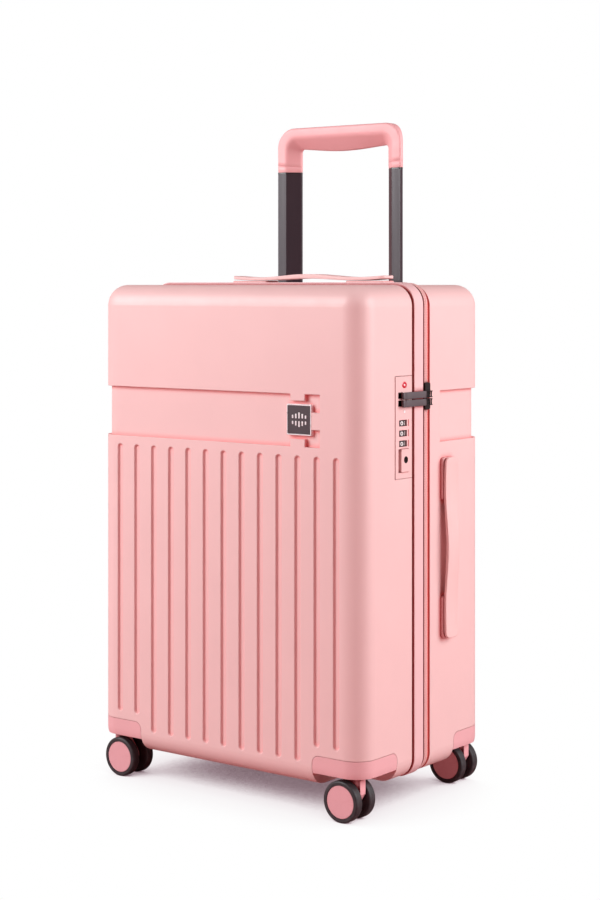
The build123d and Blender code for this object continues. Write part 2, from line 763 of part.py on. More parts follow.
save(tube_pair(0, -TUBE_WALL, UPPER_TUBE_LOW, GRIP_LOW), "upper_tubes")
save(tube_pair(MIDDLE_OUTER, MIDDLE_INNER, 56, BEZEL_FLOOR + 3.5), "middle_tubes")
save(tube_pair(GUIDE_OUTER, GUIDE_INNER, 50, BEZEL_FLOOR), "guide_tubes")

bezel_zone = block(-BEZEL_X, BEZEL_X, BEZEL_FRONT, BEZEL_REAR, BEZEL_FLOOR, TOP + 5)
bezel_pocket = block(-BEZEL_X + 2, BEZEL_X - 2, BEZEL_FRONT + 2, BEZEL_REAR - 2, POCKET_FLOOR, TOP + 5)
bezel_holes = tube_section(GUIDE_INNER)
with BuildPart() as trolley_bezel:
    add(bezel_zone)
    add(OUTER, mode=Mode.INTERSECT)
    add(bezel_pocket, mode=Mode.SUBTRACT)
    with BuildSketch(Plane.XY.offset(BEZEL_FLOOR - 1)):
        add(bezel_holes)
    extrude(amount=9, mode=Mode.SUBTRACT)
save(trolley_bezel, "trolley_bezel")

ROD_X = 88.0
ROD_Y = 118.5
leg_section = tube_section(0.6)
spigot_section = tube_section(-TUBE_WALL - 0.05)
chamfer_low = GRIP_TOP - TUBE_FACE
with BuildPart() as trolley_grip:
    with BuildSketch(Plane.XY.offset(GRIP_LOW)):
        add(leg_section)
    extrude(amount=GRIP_TOP - GRIP_LOW)
    with BuildSketch(Plane.YZ.offset(-TUBE_OUTER_X)):
        with BuildLine():
            Polyline(
                (TUBE_FRONT_Y - 0.6, GRIP_TOP),
                (TUBE_REAR_Y + 0.6, GRIP_TOP),
                (TUBE_REAR_Y + 0.6, GRIP_UNDER),
                (TUBE_FRONT_Y + TUBE_SLANT, GRIP_UNDER),
                (TUBE_FRONT_Y - 0.6, chamfer_low),
                close=True,
            )
        make_face()
    extrude(amount=2 * TUBE_OUTER_X)
    with BuildSketch(across(TUBE_REAR_Y + 0.6)):
        with BuildLine():
            belly = ThreePointArc((-70, GRIP_UNDER), (0, GRIP_BELLY), (70, GRIP_UNDER))
            Line(belly @ 1, belly @ 0)
        make_face()
    extrude(amount=6)
    with BuildSketch(across(REAR)) as outline:
        with Locations((0, (GRIP_LOW + GRIP_TOP) / 2)):
            Rectangle(2 * TUBE_OUTER_X + 1.2, GRIP_TOP - GRIP_LOW)
        fillet(outline.vertices().group_by(Axis.Y)[-1], GRIP_CORNER)
    extrude(amount=DEPTH, mode=Mode.INTERSECT)
    with BuildSketch(Plane.XY.offset(GRIP_LOW - 30)):
        add(spigot_section)
    extrude(amount=30)
    with BuildSketch(Plane.XY.offset(GRIP_LOW - 31)):
        with Locations((-ROD_X, ROD_Y), (ROD_X, ROD_Y)):
            Circle(3.2)
    extrude(amount=860 - GRIP_LOW + 31, mode=Mode.SUBTRACT)
    with BuildSketch(Plane.XY.offset(850)):
        with Locations((0, ROD_Y)):
            Rectangle(2 * ROD_X + 6.4, 6)
    extrude(amount=10, mode=Mode.SUBTRACT)
    with BuildSketch(Plane.XY.offset(853.5)):
        with Locations((0, 115.5)):
            RectangleRounded(40.6, 11.6, 4)
    extrude(amount=20, mode=Mode.SUBTRACT)
save(trolley_grip, "trolley_grip")

with BuildPart() as release_button:
    with BuildSketch(Plane.XY.offset(857)):
        with Locations((0, 115.5)):
            RectangleRounded(40, 11, 3.8)
    extrude(amount=GRIP_TOP - 857)
    fillet(release_button.faces().sort_by(Axis.Z)[-1].edges(), 1.0)
save(release_button, "release_button")

with BuildPart() as push_rods:
    with BuildSketch(Plane.XY.offset(853.8)):
        with Locations((0, ROD_Y)):
            Rectangle(2 * ROD_X + 4, 4)
    extrude(amount=3.2)
    with BuildSketch(Plane.XY.offset(480)):
        with Locations((-ROD_X, ROD_Y), (ROD_X, ROD_Y)):
            Circle(2)
    extrude(amount=375)
save(push_rods, "push_rods")

# ---- zip sliders and their pull tabs ----
slider_plates = (
    (SLIDER_LIFT, SLIDER_PLATE),
    (-SLIDER_UNDER - SLIDER_UNDER_PLATE, SLIDER_UNDER_PLATE),
)
for name, low, high, tab_low in SLIDERS:
    middle = (low + high) / 2
    tab_high = tab_low + PULL_HEIGHT
    with BuildPart() as slider:
        for face, thick in slider_plates:
            with BuildSketch(Plane.YZ.offset(SIDE + face)):
                with Locations((ZIP_LINE, middle)):
                    RectangleRounded(SLIDER_WIDTH, high - low, SLIDER_ROUND)
            extrude(amount=thick)
        with BuildSketch(Plane.YZ.offset(SIDE - SLIDER_UNDER - 0.2)):
            with Locations((ZIP_LINE, middle)):
                Rectangle(SLIDER_STEM, high - low - 2 * SLIDER_ROUND)
        extrude(amount=SLIDER_UNDER + SLIDER_LIFT + 0.4)
        for lug_low in (tab_low + 0.1, tab_high - 0.1 - LUG_THICK):
            with BuildSketch(Plane.XY.offset(lug_low)):
                with Locations((PULL_X, PULL_Y)):
                    Circle(LUG_RADIUS)
                with Locations(((PULL_X + SIDE + SLIDER_LIFT) / 2, PULL_Y)):
                    Rectangle(PULL_X - SIDE - SLIDER_LIFT, 2 * LUG_RADIUS)
            extrude(amount=LUG_THICK)
        with BuildSketch(Plane.XY.offset(tab_low + 0.1)):
            with Locations((PULL_X, PULL_Y)):
                Circle(PULL_PIN)
        extrude(amount=PULL_HEIGHT - 0.2)
    save(slider, f"zip_slider_{name}")
    with BuildPart() as pull:
        with BuildSketch(Plane.XY.offset(tab_low)):
            with Locations((PULL_X, (PULL_END + PULL_NEAR) / 2)):
                Rectangle(PULL_THICK, PULL_NEAR - PULL_END)
        extrude(amount=PULL_HEIGHT)
        fillet(pull.edges().filter_by(Axis.X).group_by(Axis.Y)[0], PULL_ROUND)
        with BuildSketch(Plane.XY.offset(tab_low + NECK_LOW)):
            with Locations((PULL_X, (PULL_NEAR + PULL_Y) / 2)):
                Rectangle(NECK_THICK, PULL_Y - PULL_NEAR + 0.4)
            with Locations((PULL_X, PULL_Y)):
                Circle(LUG_RADIUS)
        extrude(amount=NECK_HEIGHT)
        with BuildSketch(Plane.XY.offset(tab_low)):
            with Locations((PULL_X, PULL_Y)):
                Circle(PULL_PIN + 0.06)
        extrude(amount=PULL_HEIGHT, mode=Mode.SUBTRACT)
    save(pull, f"zip_pull_{name}")

# ---- casters: the front left one trails to the right of its swivel pin, the others to the left ----
corners = (
    ("front_left", -SWIVEL_X, SWIVEL_FRONT_Y, TRAIL),
    ("front_right", SWIVEL_X, SWIVEL_FRONT_Y, -TRAIL),
    ("rear_left", -SWIVEL_X, SWIVEL_REAR_Y, -TRAIL),
    ("rear_right", SWIVEL_X, SWIVEL_REAR_Y, -TRAIL),
)
for corner, pin_x, pin_y, trail in corners:
    axle_x = pin_x + trail
    with BuildPart() as fork:
        with BuildSketch(across(pin_y + FORK_THICK / 2)) as arm:
            with Locations((axle_x, WHEEL_RADIUS)):
                Circle(FORK_END_RADIUS)
            with Locations((pin_x, (FORK_HEAD_LOW + FORK_TOP) / 2)):
                Rectangle(FORK_HEAD, FORK_TOP - FORK_HEAD_LOW)
            make_hull(arm.edges())
        extrude(amount=FORK_THICK)
        with BuildSketch(Plane.XY.offset(35)):
            with Locations((pin_x, pin_y)):
                Circle(7)
        extrude(amount=17.2)
        with BuildSketch(Plane.XY.offset(36.5)):
            with Locations((pin_x, pin_y)):
                Circle(PIN_RADIUS + 0.05)
        extrude(amount=20, mode=Mode.SUBTRACT)
        with BuildSketch(across(pin_y + 20)):
            with Locations((axle_x, WHEEL_RADIUS)):
                Circle(AXLE_RADIUS + 0.02)
        extrude(amount=40, mode=Mode.SUBTRACT)
        with BuildSketch(across(pin_y + 17.5)):
            with Locations((axle_x, WHEEL_RADIUS)):
                Circle(AXLE_RADIUS)
        extrude(amount=35)
    save(fork, f"caster_{corner}_fork")
    for number, side in ((1, -1), (2, 1)):
        inner_y = pin_y + side * WHEEL_INNER
        outer_y = pin_y + side * WHEEL_OUTER
        near_y = max(inner_y, outer_y)
        width = WHEEL_OUTER - WHEEL_INNER
        with BuildPart() as hub:
            with BuildSketch(across(near_y - (0.5 if side > 0 else 0.2))):
                with Locations((axle_x, WHEEL_RADIUS)):
                    Circle(HUB_RADIUS)
            extrude(amount=width - 0.7)
            outer_face = hub.faces().sort_by(Axis.Y)[-1 if side > 0 else 0]
            fillet(outer_face.edges(), 0.8)
            with BuildSketch(across(pin_y + 17.6)):
                with Locations((axle_x, WHEEL_RADIUS)):
                    Circle(AXLE_RADIUS + 0.06)
            extrude(amount=35.2, mode=Mode.SUBTRACT)
        save(hub, f"caster_{corner}_hub_{number}")
        with BuildPart() as tyre:
            with BuildSketch(across(near_y)):
                with Locations((axle_x, WHEEL_RADIUS)):
                    Circle(WHEEL_RADIUS)
            extrude(amount=width)
            rims = tyre.edges().filter_by(GeomType.CIRCLE)
            fillet(rims, 2.4)
            with BuildSketch(across(near_y + 1)):
                with Locations((axle_x, WHEEL_RADIUS)):
                    Circle(HUB_RADIUS)
            extrude(amount=width + 2, mode=Mode.SUBTRACT)
        save(tyre, f"caster_{corner}_tyre_{number}")
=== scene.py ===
import json
import math

import bmesh
import bpy
import numpy as np
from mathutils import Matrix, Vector
from mathutils.bvhtree import BVHTree


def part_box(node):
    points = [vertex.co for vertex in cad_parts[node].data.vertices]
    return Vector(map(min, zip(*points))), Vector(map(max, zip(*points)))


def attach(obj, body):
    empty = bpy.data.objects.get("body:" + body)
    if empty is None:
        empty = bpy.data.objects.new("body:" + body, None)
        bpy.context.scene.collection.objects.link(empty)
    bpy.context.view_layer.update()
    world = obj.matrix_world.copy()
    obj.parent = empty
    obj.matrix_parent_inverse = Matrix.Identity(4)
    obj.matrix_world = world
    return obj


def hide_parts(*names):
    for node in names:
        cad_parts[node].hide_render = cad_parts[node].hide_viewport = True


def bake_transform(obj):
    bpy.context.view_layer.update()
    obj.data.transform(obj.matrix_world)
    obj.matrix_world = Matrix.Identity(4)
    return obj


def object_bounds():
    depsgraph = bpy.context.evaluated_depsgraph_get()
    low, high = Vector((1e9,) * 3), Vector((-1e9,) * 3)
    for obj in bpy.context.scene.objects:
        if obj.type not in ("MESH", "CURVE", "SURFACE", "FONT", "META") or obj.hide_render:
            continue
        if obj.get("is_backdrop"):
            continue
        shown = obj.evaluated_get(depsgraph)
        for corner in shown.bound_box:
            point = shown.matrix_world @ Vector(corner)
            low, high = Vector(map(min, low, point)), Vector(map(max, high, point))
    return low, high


MM = 0.001
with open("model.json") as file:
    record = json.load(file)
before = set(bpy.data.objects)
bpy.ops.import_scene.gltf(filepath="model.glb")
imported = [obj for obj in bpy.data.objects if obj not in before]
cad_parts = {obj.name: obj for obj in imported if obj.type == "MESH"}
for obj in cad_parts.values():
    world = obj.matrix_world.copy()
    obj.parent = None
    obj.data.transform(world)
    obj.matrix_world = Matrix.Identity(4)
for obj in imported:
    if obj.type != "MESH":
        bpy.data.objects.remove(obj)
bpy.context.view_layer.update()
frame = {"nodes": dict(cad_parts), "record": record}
nodes = frame["nodes"]
rng = np.random.default_rng(7)

# ---------------------------------------------------------------- measures from the frame, in mm


def span(node):
    low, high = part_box(node)
    return np.array(low) / MM, np.array(high) / MM


SHELL_LOW, SHELL_HIGH = span("front_shell")
SIDE = SHELL_HIGH[0]
TOP, BOTTOM = SHELL_HIGH[2], SHELL_LOW[2]
R_TOP, R_BOTTOM = 27.0, 25.0
TRIM_REAR, BACK_EDGE = span("frame_trim")[1][1], span("back_shell")[0][1]
ZIP_LINE = 0.3
STRIP_RISE = span("front_zip_tape")[1][2] - TOP

# ---------------------------------------------------------------- materials


class Shade:
    """A procedural material on one Principled shader."""

    def __init__(self, name, color, rough, **sockets):
        self.mat = bpy.data.materials.new(name)
        self.mat.use_nodes = True
        self.tree = self.mat.node_tree
        self.bsdf = self.tree.nodes["Principled BSDF"]
        self.color = (*color, 1.0)
        self.bsdf.inputs["Base Color"].default_value = self.color
        self.bsdf.inputs["Roughness"].default_value = rough
        for key, value in sockets.items():
            self.bsdf.inputs[key.replace("_", " ")].default_value = value
        self.coords = self.node("ShaderNodeTexCoord").outputs["Object"]
        self.heights = []
        self.tone = None

    def node(self, kind, **settings):
        made = self.tree.nodes.new(kind)
        for key, value in settings.items():
            setattr(made, key, value)
        return made

    def link(self, source, target):
        self.tree.links.new(source, target)

    def noise(self, scale, detail=2.0, stretch=(1, 1, 1), coords=None, rough=0.5):
        mapping = self.node("ShaderNodeMapping")
        mapping.inputs["Scale"].default_value = stretch
        self.link(coords or self.coords, mapping.inputs["Vector"])
        made = self.node("ShaderNodeTexNoise")
        made.inputs["Scale"].default_value = scale
        made.inputs["Detail"].default_value = detail
        made.inputs["Roughness"].default_value = rough
        self.link(mapping.outputs["Vector"], made.inputs["Vector"])
        return made.outputs["Fac"]

    def math(self, operation, a, b=None):
        made = self.node("ShaderNodeMath", operation=operation)
        for socket, value in zip(made.inputs, (a, b)):
            if value is None:
                continue
            if isinstance(value, (int, float)):
                socket.default_value = value
            else:
                self.link(value, socket)
        return made.outputs["Value"]

    def ramp(self, value, low, high, out_low=0.0, out_high=1.0):
        made = self.node("ShaderNodeMapRange")
        numbers = (low, high, out_low, out_high)
        for key, number in zip(("From Min", "From Max", "To Min", "To Max"), numbers):
            made.inputs[key].default_value = number
        self.link(value, made.inputs["Value"])
        return made.outputs["Result"]

    def mix(self, factor, color, base=None):
        """Lay a colour over the base colour by a factor."""
        made = self.node("ShaderNodeMix", data_type="RGBA")
        self.link(factor, made.inputs["Factor"])
        before = base or self.tone
        if before is None:
            made.inputs["A"].default_value = self.color
        else:
            self.link(before, made.inputs["A"])
        made.inputs["B"].default_value = (*color, 1.0)
        self.tone = made.outputs["Result"]
        self.link(self.tone, self.bsdf.inputs["Base Color"])
        return self

    def roughness(self, value, low, high):
        self.link(self.ramp(value, 0.3, 0.7, low, high), self.bsdf.inputs["Roughness"])
        return self

    def bump(self, height, distance, strength=1.0):
        self.heights.append((height, distance, strength))
        return self

    def crevice(self, color, distance, low=0.55, high=0.95):
        """Painted shade: a deeper colour where surfaces come close together, read from ambient occlusion."""
        made = self.node("ShaderNodeAmbientOcclusion", samples=6)
        made.inputs["Distance"].default_value = distance
        return self.mix(self.ramp(made.outputs["AO"], low, high, 1.0, 0.0), color)

    def wear(self, color, scale=40, low=0.52, high=0.75, amount=0.2):
        return self.mix(self.ramp(self.noise(scale, 4), low, high, 0.0, amount), color)

    def weave(self, pitch, distance, dark, amount=0.35):
        """A plain weave in the piece's own flat coordinates, which are in metres."""
        uv = self.node("ShaderNodeTexCoord").outputs["UV"]
        parts = self.node("ShaderNodeSeparateXYZ")
        self.link(uv, parts.inputs["Vector"])
        k = 2 * math.pi / (pitch * MM)
        waves = [self.math("SINE", self.math("MULTIPLY", parts.outputs[a], k)) for a in "XY"]
        woven = self.ramp(self.math("MULTIPLY", *waves), -1.0, 1.0)
        self.bump(woven, distance)
        return self.mix(self.math("MULTIPLY", woven, amount), dark)

    def done(self, edge=0.0):
        """Chain the bumps, over a softened edge where one is asked for."""
        before = None
        if edge:
            bevel = self.node("ShaderNodeBevel", samples=4)
            bevel.inputs["Radius"].default_value = edge * MM
            before = bevel.outputs["Normal"]
        for height, distance, strength in self.heights:
            made = self.node("ShaderNodeBump")
            made.inputs["Distance"].default_value = distance * MM
            made.inputs["Strength"].default_value = strength
            self.link(height, made.inputs["Height"])
            if before is not None:
                self.link(before, made.inputs["Normal"])
            before = made.outputs["Normal"]
        if before is not None:
            self.link(before, self.bsdf.inputs["Normal"])
        return self.mat


def moulded(name, color, rough, deep, edge=0.5, grain=0.05, crease=6.5, **sockets):
    """Satin moulded plastic: fine pebble grain, slow colour drift, painted shade in the grain's low pits and painted
    shade in the creases in the deep colour.
    """
    s = Shade(name, color, rough, **sockets)
    fine = s.noise(1500, 2)
    s.bump(fine, grain, 0.55)
    s.bump(s.noise(9, 2), 0.35, 0.12)
    s.roughness(s.noise(60, 4), rough - 0.05, rough + 0.06)
    lighter = [min(1.0, c * 1.05 + 0.01) for c in color]
    s.mix(s.ramp(s.noise(14, 3), 0.4, 0.7, 0.0, 0.35), lighter)
    # painted shade: a little darker in the low pits of the pebble grain
    s.mix(s.ramp(fine, 0.3, 0.75, 0.12, 0.0), [c * 0.8 for c in color])
    # painted shade in the creases, in the deep colour, out to crease mm
    if crease:
        s.crevice(deep, crease * MM)
    return s.done(edge)


PINK = (0.85, 0.565, 0.56)
# painted shade colours for the creases: the first in the shell's grooves and seams, the second in the other plastics'
# creases
GROOVE_SHADE = (0.93, 0.33, 0.33)
CREASE_SHADE = (0.44, 0.045, 0.048)
# the fourth value of each moulded finish is the colour of its painted crease shade
MATS = {
    "shell_plastic": moulded("shell_plastic", PINK, 0.42, GROOVE_SHADE, 1.5),
    "trim_plastic": moulded("trim_plastic", (0.85, 0.545, 0.56), 0.40, CREASE_SHADE, 0.6, 0.04),
    "bracket_plastic": moulded("bracket_plastic", (0.83, 0.445, 0.47), 0.42, CREASE_SHADE, 0.6, 0.04),
    "handle_plastic": moulded("handle_plastic", (0.87, 0.48, 0.485), 0.45, CREASE_SHADE, 0.6, 0.04),
    "strap_rubber": moulded("strap_rubber", (0.86, 0.56, 0.55), 0.5, CREASE_SHADE, 0.0, 0.04),
    "grip_plastic": moulded("grip_plastic", (0.90, 0.46, 0.475), 0.42, (0.6, 0.12, 0.13), 0.0, 0.04, 0),
    "button_plastic": moulded("button_plastic", (0.82, 0.35, 0.36), 0.4, CREASE_SHADE, 0.6, 0.03),
    "lock_plastic": moulded("lock_plastic", (0.85, 0.54, 0.535), 0.40, CREASE_SHADE, 0.3, 0.02, 2.0),
    "lock_inner": moulded("lock_inner", (0.05, 0.02, 0.022), 0.6, (0.01, 0.004, 0.004), 0.0),
    "pull_plastic": moulded("pull_plastic", (0.085, 0.07, 0.08), 0.46, (0.02, 0.015, 0.018), 0.7, 0.06),
    "buckle_plastic": moulded("buckle_plastic", (0.03, 0.025, 0.028), 0.4, (0.01, 0.01, 0.01), 0.6, 0.05),
    "fork_plastic": moulded("fork_plastic", (0.86, 0.42, 0.45), 0.4, (0.25, 0.03, 0.04), 0.6, 0.04),
}


def metal(name, color, rough, metallic, edge=0.3, streak=(1, 1, 40), depth=0.01):
    """Anodised, painted or bare metal with fine drawn lines."""
    s = Shade(name, color, rough, Metallic=metallic)
    lines = s.noise(900, 3, streak)
    s.bump(lines, depth, 0.5)
    s.roughness(s.noise(160, 4, streak), rough - 0.06, rough + 0.08)
    s.mix(s.ramp(lines, 0.35, 0.7, 0.0, 0.25), [c * 0.75 for c in color])
    s.wear([min(1.0, c * 1.4 + 0.02) for c in color], 30, 0.6, 0.8, 0.25)
    return s.done(edge)


ALONG_Z = (1, 1, 0.02)
MATS.update(
    tube_plum=metal("tube_plum", (0.036, 0.024, 0.033), 0.36, 0.15, 0.5, ALONG_Z),
    tube_bare=metal("tube_bare", (0.72, 0.72, 0.73), 0.32, 1.0, 0.3, ALONG_Z),
    pin_steel=metal("pin_steel", (0.62, 0.62, 0.63), 0.3, 1.0),
    zip_metal=metal("zip_metal", (0.018, 0.016, 0.018), 0.34, 0.5, 0.5),
    key_metal=metal("key_metal", (0.012, 0.011, 0.012), 0.3, 0.6),
    badge_metal=metal("badge_metal", (0.88, 0.86, 0.88), 0.3, 0.3, 0.3, (1, 1, 1)),
    badge_face=metal("badge_face", (0.06, 0.045, 0.053), 0.38, 0.3, 0.2, (1, 1, 12)),
)


def hub_material(name, outward):
    """A turned disc with faint rays from the middle of the piece's own box, painted shade in its creases, and painted
    shade, near black, on its inner side that faces the twin wheel.
    """
    s = Shade(name, (0.80, 0.42, 0.455), 0.36)
    generated = s.node("ShaderNodeTexCoord").outputs["Generated"]
    centred = s.node("ShaderNodeVectorMath", operation="SUBTRACT")
    s.link(generated, centred.inputs[0])
    centred.inputs[1].default_value = (0.5, 0.5, 0.5)
    parts = s.node("ShaderNodeSeparateXYZ")
    s.link(centred.outputs["Vector"], parts.inputs["Vector"])
    angle = s.math("ARCTAN2", parts.outputs["Z"], parts.outputs["X"])
    joined = s.node("ShaderNodeCombineXYZ")
    s.link(s.math("MULTIPLY", s.math("SINE", angle), 5.0), joined.inputs["X"])
    s.link(s.math("MULTIPLY", s.math("COSINE", angle), 5.0), joined.inputs["Y"])
    rays = s.noise(4.5, 5, coords=joined.outputs["Vector"], rough=0.75)
    s.mix(s.ramp(rays, 0.50, 0.72, 0.0, 0.45), (0.55, 0.16, 0.19))
    s.mix(s.ramp(rays, 0.28, 0.45, 0.30, 0.0), (0.90, 0.50, 0.53))
    s.bump(rays, 0.12, 0.5)
    s.roughness(rays, 0.28, 0.46)
    # painted shade in the hub's creases
    s.crevice((0.22, 0.03, 0.04), 0.004)
    # painted shade: near black on the inner side that faces the twin wheel
    facing = s.node("ShaderNodeSeparateXYZ")
    s.link(s.node("ShaderNodeTexCoord").outputs["Normal"], facing.inputs["Vector"])
    s.mix(s.ramp(s.math("MULTIPLY", facing.outputs["Y"], -outward), 0.3, 0.7), (0.020, 0.014, 0.017))
    return s.done(0.4)


def tyre_material():
    s = Shade("tyre_rubber", (0.022, 0.020, 0.024), 0.5)
    s.bump(s.noise(900, 3), 0.06, 0.6)
    s.roughness(s.noise(120, 4), 0.42, 0.62)
    s.wear((0.075, 0.07, 0.078), 90, 0.45, 0.75, 0.5)
    s.mix(s.ramp(s.noise(420, 2), 0.62, 0.75, 0.0, 0.25), (0.12, 0.10, 0.10))
    return s.done(0.4)


def gloss_material(name, color, rough):
    s = Shade(name, color, rough, Coat_Weight=0.3, Coat_Roughness=0.12)
    s.bump(s.noise(300, 2), 0.02, 0.4)
    s.roughness(s.noise(90, 3), rough - 0.04, rough + 0.06)
    s.wear([min(1.0, c * 1.5 + 0.01) for c in color], 120, 0.55, 0.8, 0.3)
    return s.done(0.25)


def fabric_material(name, color, dark, pitch, depth, rough=0.85):
    s = Shade(name, color, rough, Sheen_Weight=0.25, Sheen_Roughness=0.5)
    s.weave(pitch, depth, dark)
    s.wear([min(1.0, c * 1.12 + 0.01) for c in color], 25, 0.45, 0.75, 0.4)
    s.bump(s.noise(40, 3), 0.3, 0.3)
    # painted shade in the creases, in half the dark thread colour
    s.crevice([c * 0.5 for c in dark], 0.006, 0.4, 0.95)
    return s.done()


MATS.update(
    hub_plastic_1=hub_material("hub_plastic_1", -1),
    hub_plastic_2=hub_material("hub_plastic_2", 1),
    tyre_rubber=tyre_material(),
    dial_plastic=gloss_material("dial_plastic", (0.012, 0.011, 0.013), 0.3),
    reset_white=gloss_material("reset_white", (0.86, 0.84, 0.84), 0.3),
    # painted shade: the near-black red of the seam gasket stands for the shadow in the gap between the front shell
    # and the trim
    gasket_rubber=gloss_material("gasket_rubber", (0.16, 0.004, 0.005), 0.6),
    paint_white=gloss_material("paint_white", (0.88, 0.87, 0.87), 0.35),
    paint_red=gloss_material("paint_red", (0.62, 0.003, 0.03), 0.35),
    paint_rose=gloss_material("paint_rose", (0.50, 0.04, 0.045), 0.4),
    zip_fabric=fabric_material("zip_fabric", (0.88, 0.50, 0.49), (0.62, 0.22, 0.22), 1.1, 0.10),
    # painted shade: the saturated red in the zip's narrow gap and the deeper red on its groove floor stand for shade
    # in these grooves
    zip_gap=fabric_material("zip_gap", (0.78, 0.045, 0.025), (0.62, 0.02, 0.012), 1.1, 0.10),
    zip_groove=fabric_material("zip_groove", (0.62, 0.20, 0.19), (0.42, 0.10, 0.10), 1.1, 0.10),
    zip_coil=fabric_material("zip_coil", (0.80, 0.37, 0.36), (0.55, 0.16, 0.15), 0.8, 0.06, 0.55),
    thread=fabric_material("thread", (0.66, 0.26, 0.26), (0.42, 0.12, 0.12), 0.5, 0.04),
    lining_fabric=fabric_material("lining_fabric", (0.21, 0.165, 0.18), (0.10, 0.075, 0.085), 0.9, 0.08),
    piping=fabric_material("piping", (0.60, 0.27, 0.27), (0.38, 0.12, 0.12), 0.9, 0.08),
    webbing=fabric_material("webbing", (0.018, 0.015, 0.017), (0.006, 0.005, 0.006), 1.4, 0.16),
    hinge_fabric=fabric_material("hinge_fabric", (0.55, 0.25, 0.25), (0.33, 0.11, 0.11), 1.2, 0.12),
)

SLOT_OF = {row["node"]: row["material_slot"] for row in frame["record"]["subparts"]}
for node, piece in nodes.items():
    finish = "bracket_plastic" if node.endswith("brackets") else SLOT_OF[node]
    if "_hub_" in node:
        finish = f"hub_plastic_{node[-1]}"
    piece.data.materials.clear()
    piece.data.materials.append(MATS[finish])

# ---------------------------------------------------------------- mesh helpers


def piece_from(name, verts, faces, finishes, body, stands_for=(), kinds=None, uvs=None, sharp=40):
    """A finished mesh, given in mm, that rides on a body."""
    mesh = bpy.data.meshes.new(name)
    mesh.from_pydata([tuple(v) for v in np.asarray(verts) * MM], [], faces)
    for finish in finishes:
        mesh.materials.append(MATS[finish])
    if kinds is not None:
        mesh.polygons.foreach_set("material_index", kinds)
    if uvs is not None:
        layer = mesh.uv_layers.new(name="flat")
        layer.data.foreach_set("uv", np.asarray(uvs, np.float32).ravel())
    mesh.validate()
    mesh.shade_smooth()
    mesh.set_sharp_from_angle(angle=math.radians(sharp))
    made = bpy.data.objects.new(name, mesh)
    bpy.context.scene.collection.objects.link(made)
    if body:
        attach(made, body)
    if stands_for:
        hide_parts(*stands_for)
    return made


def loft(name, rows, finishes, body, stands_for=(), closed=True, looped=False, kind_of=None, sharp=40,
         caps=True, build=True):
    """A surface through rows of points. closed joins each row's ends, looped joins the last row to the first."""
    rows = np.asarray(rows, float)
    count, size = rows.shape[:2]
    row_last = count if looped else count - 1
    col_last = size if closed else size - 1
    along = np.zeros(count + 1)
    steps = np.linalg.norm(np.roll(rows, -1, 0) - rows, axis=2).mean(1)
    along[1:] = np.cumsum(steps)
    around = np.zeros(size + 1)
    around[1:] = np.cumsum(np.linalg.norm(np.roll(rows[0], -1, 0) - rows[0], axis=1))
    faces, kinds, uvs = [], [], []
    for r in range(row_last):
        s = (r + 1) % count
        for c in range(col_last):
            d = (c + 1) % size
            faces.append((r * size + c, r * size + d, s * size + d, s * size + c))
            kinds.append(kind_of(c) if kind_of else 0)
            corners = ((r, c), (r, c + 1), (r + 1, c + 1), (r + 1, c))
            uvs.extend((along[i] * MM, around[j] * MM) for i, j in corners)
    if closed and not looped and caps:
        for start, step in ((0, -1), ((count - 1) * size, 1)):
            faces.append(tuple(start + i for i in range(size))[::step])
            kinds.append(0)
            uvs.extend((0.0, 0.0) for _ in range(size))
    verts = rows.reshape(-1, 3)
    if not build:
        return verts, faces, kinds, uvs
    return piece_from(name, verts, faces, finishes, body, stands_for, kinds, uvs, sharp)


def rounded(points, radius, steps=4):
    """A polygon with rounded corners: steps + 1 points at each one."""
    points = np.asarray(points, float)
    radii = np.broadcast_to(radius, len(points))
    out = []
    for i, corner in enumerate(points):
        before, after = points[i - 1], points[(i + 1) % len(points)]
        a, b = before - corner, after - corner
        reach = min(radii[i], 0.48 * np.linalg.norm(a), 0.48 * np.linalg.norm(b))
        start = corner + a / np.linalg.norm(a) * reach
        end = corner + b / np.linalg.norm(b) * reach
        for t in np.linspace(0, 1, steps + 1):
            out.append((1 - t) ** 2 * start + 2 * t * (1 - t) * corner + t**2 * end)
    return np.array(out)


def smooth(t):
    t = np.clip(t, 0.0, 1.0)
    return t * t * (3 - 2 * t)


def case_outline(spacing, arc_steps):
    """Points round the case's outline and their outward directions, in X and Z: (x, z, nx, nz)."""
    parts = []

    def straight(start, end, normal):
        length = math.dist(start, end)
        n = max(2, round(length / spacing))
        for i in range(n):
            t = i / n
            parts.append((*(start[k] * (1 - t) + end[k] * t for k in (0, 1)), *normal))

    def arc(centre, radius, first):
        for i in range(arc_steps):
            a = math.radians(first + 90 * i / arc_steps)
            n = (math.cos(a), math.sin(a))
            parts.append((centre[0] + radius * n[0], centre[1] + radius * n[1], *n))

    lo, hi = R_BOTTOM, R_TOP
    straight((-SIDE + lo, BOTTOM), (SIDE - lo, BOTTOM), (0, -1))
    arc((SIDE - lo, BOTTOM + lo), lo, -90)
    straight((SIDE, BOTTOM + lo), (SIDE, TOP - hi), (1, 0))
    arc((SIDE - hi, TOP - hi), hi, 0)
    straight((SIDE - hi, TOP), (-SIDE + hi, TOP), (0, 1))
    arc((-SIDE + hi, TOP - hi), hi, 90)
    straight((-SIDE, TOP - hi), (-SIDE, BOTTOM + lo), (-1, 0))
    arc((-SIDE + lo, BOTTOM + lo), lo, 180)
    return np.array(parts)


def strip_lift(z):
    """How far the zip's raised strip stands above the plain outline at a height."""
    low, high = BOTTOM + R_BOTTOM, TOP - R_TOP
    return STRIP_RISE * min(1.0, max(0.0, (z - low) / (high - low)))


def ring_rows(outline, section):
    """Rows for a loft right round the case. Section points are (inset, y, share of the strip's rise)."""
    rows = []
    for i, (x, z, nx, nz) in enumerate(outline):
        points = section(i) if callable(section) else section
        rows.append([(x - nx * d, y, z - nz * d + share * strip_lift(z)) for d, y, share in points])
    return rows


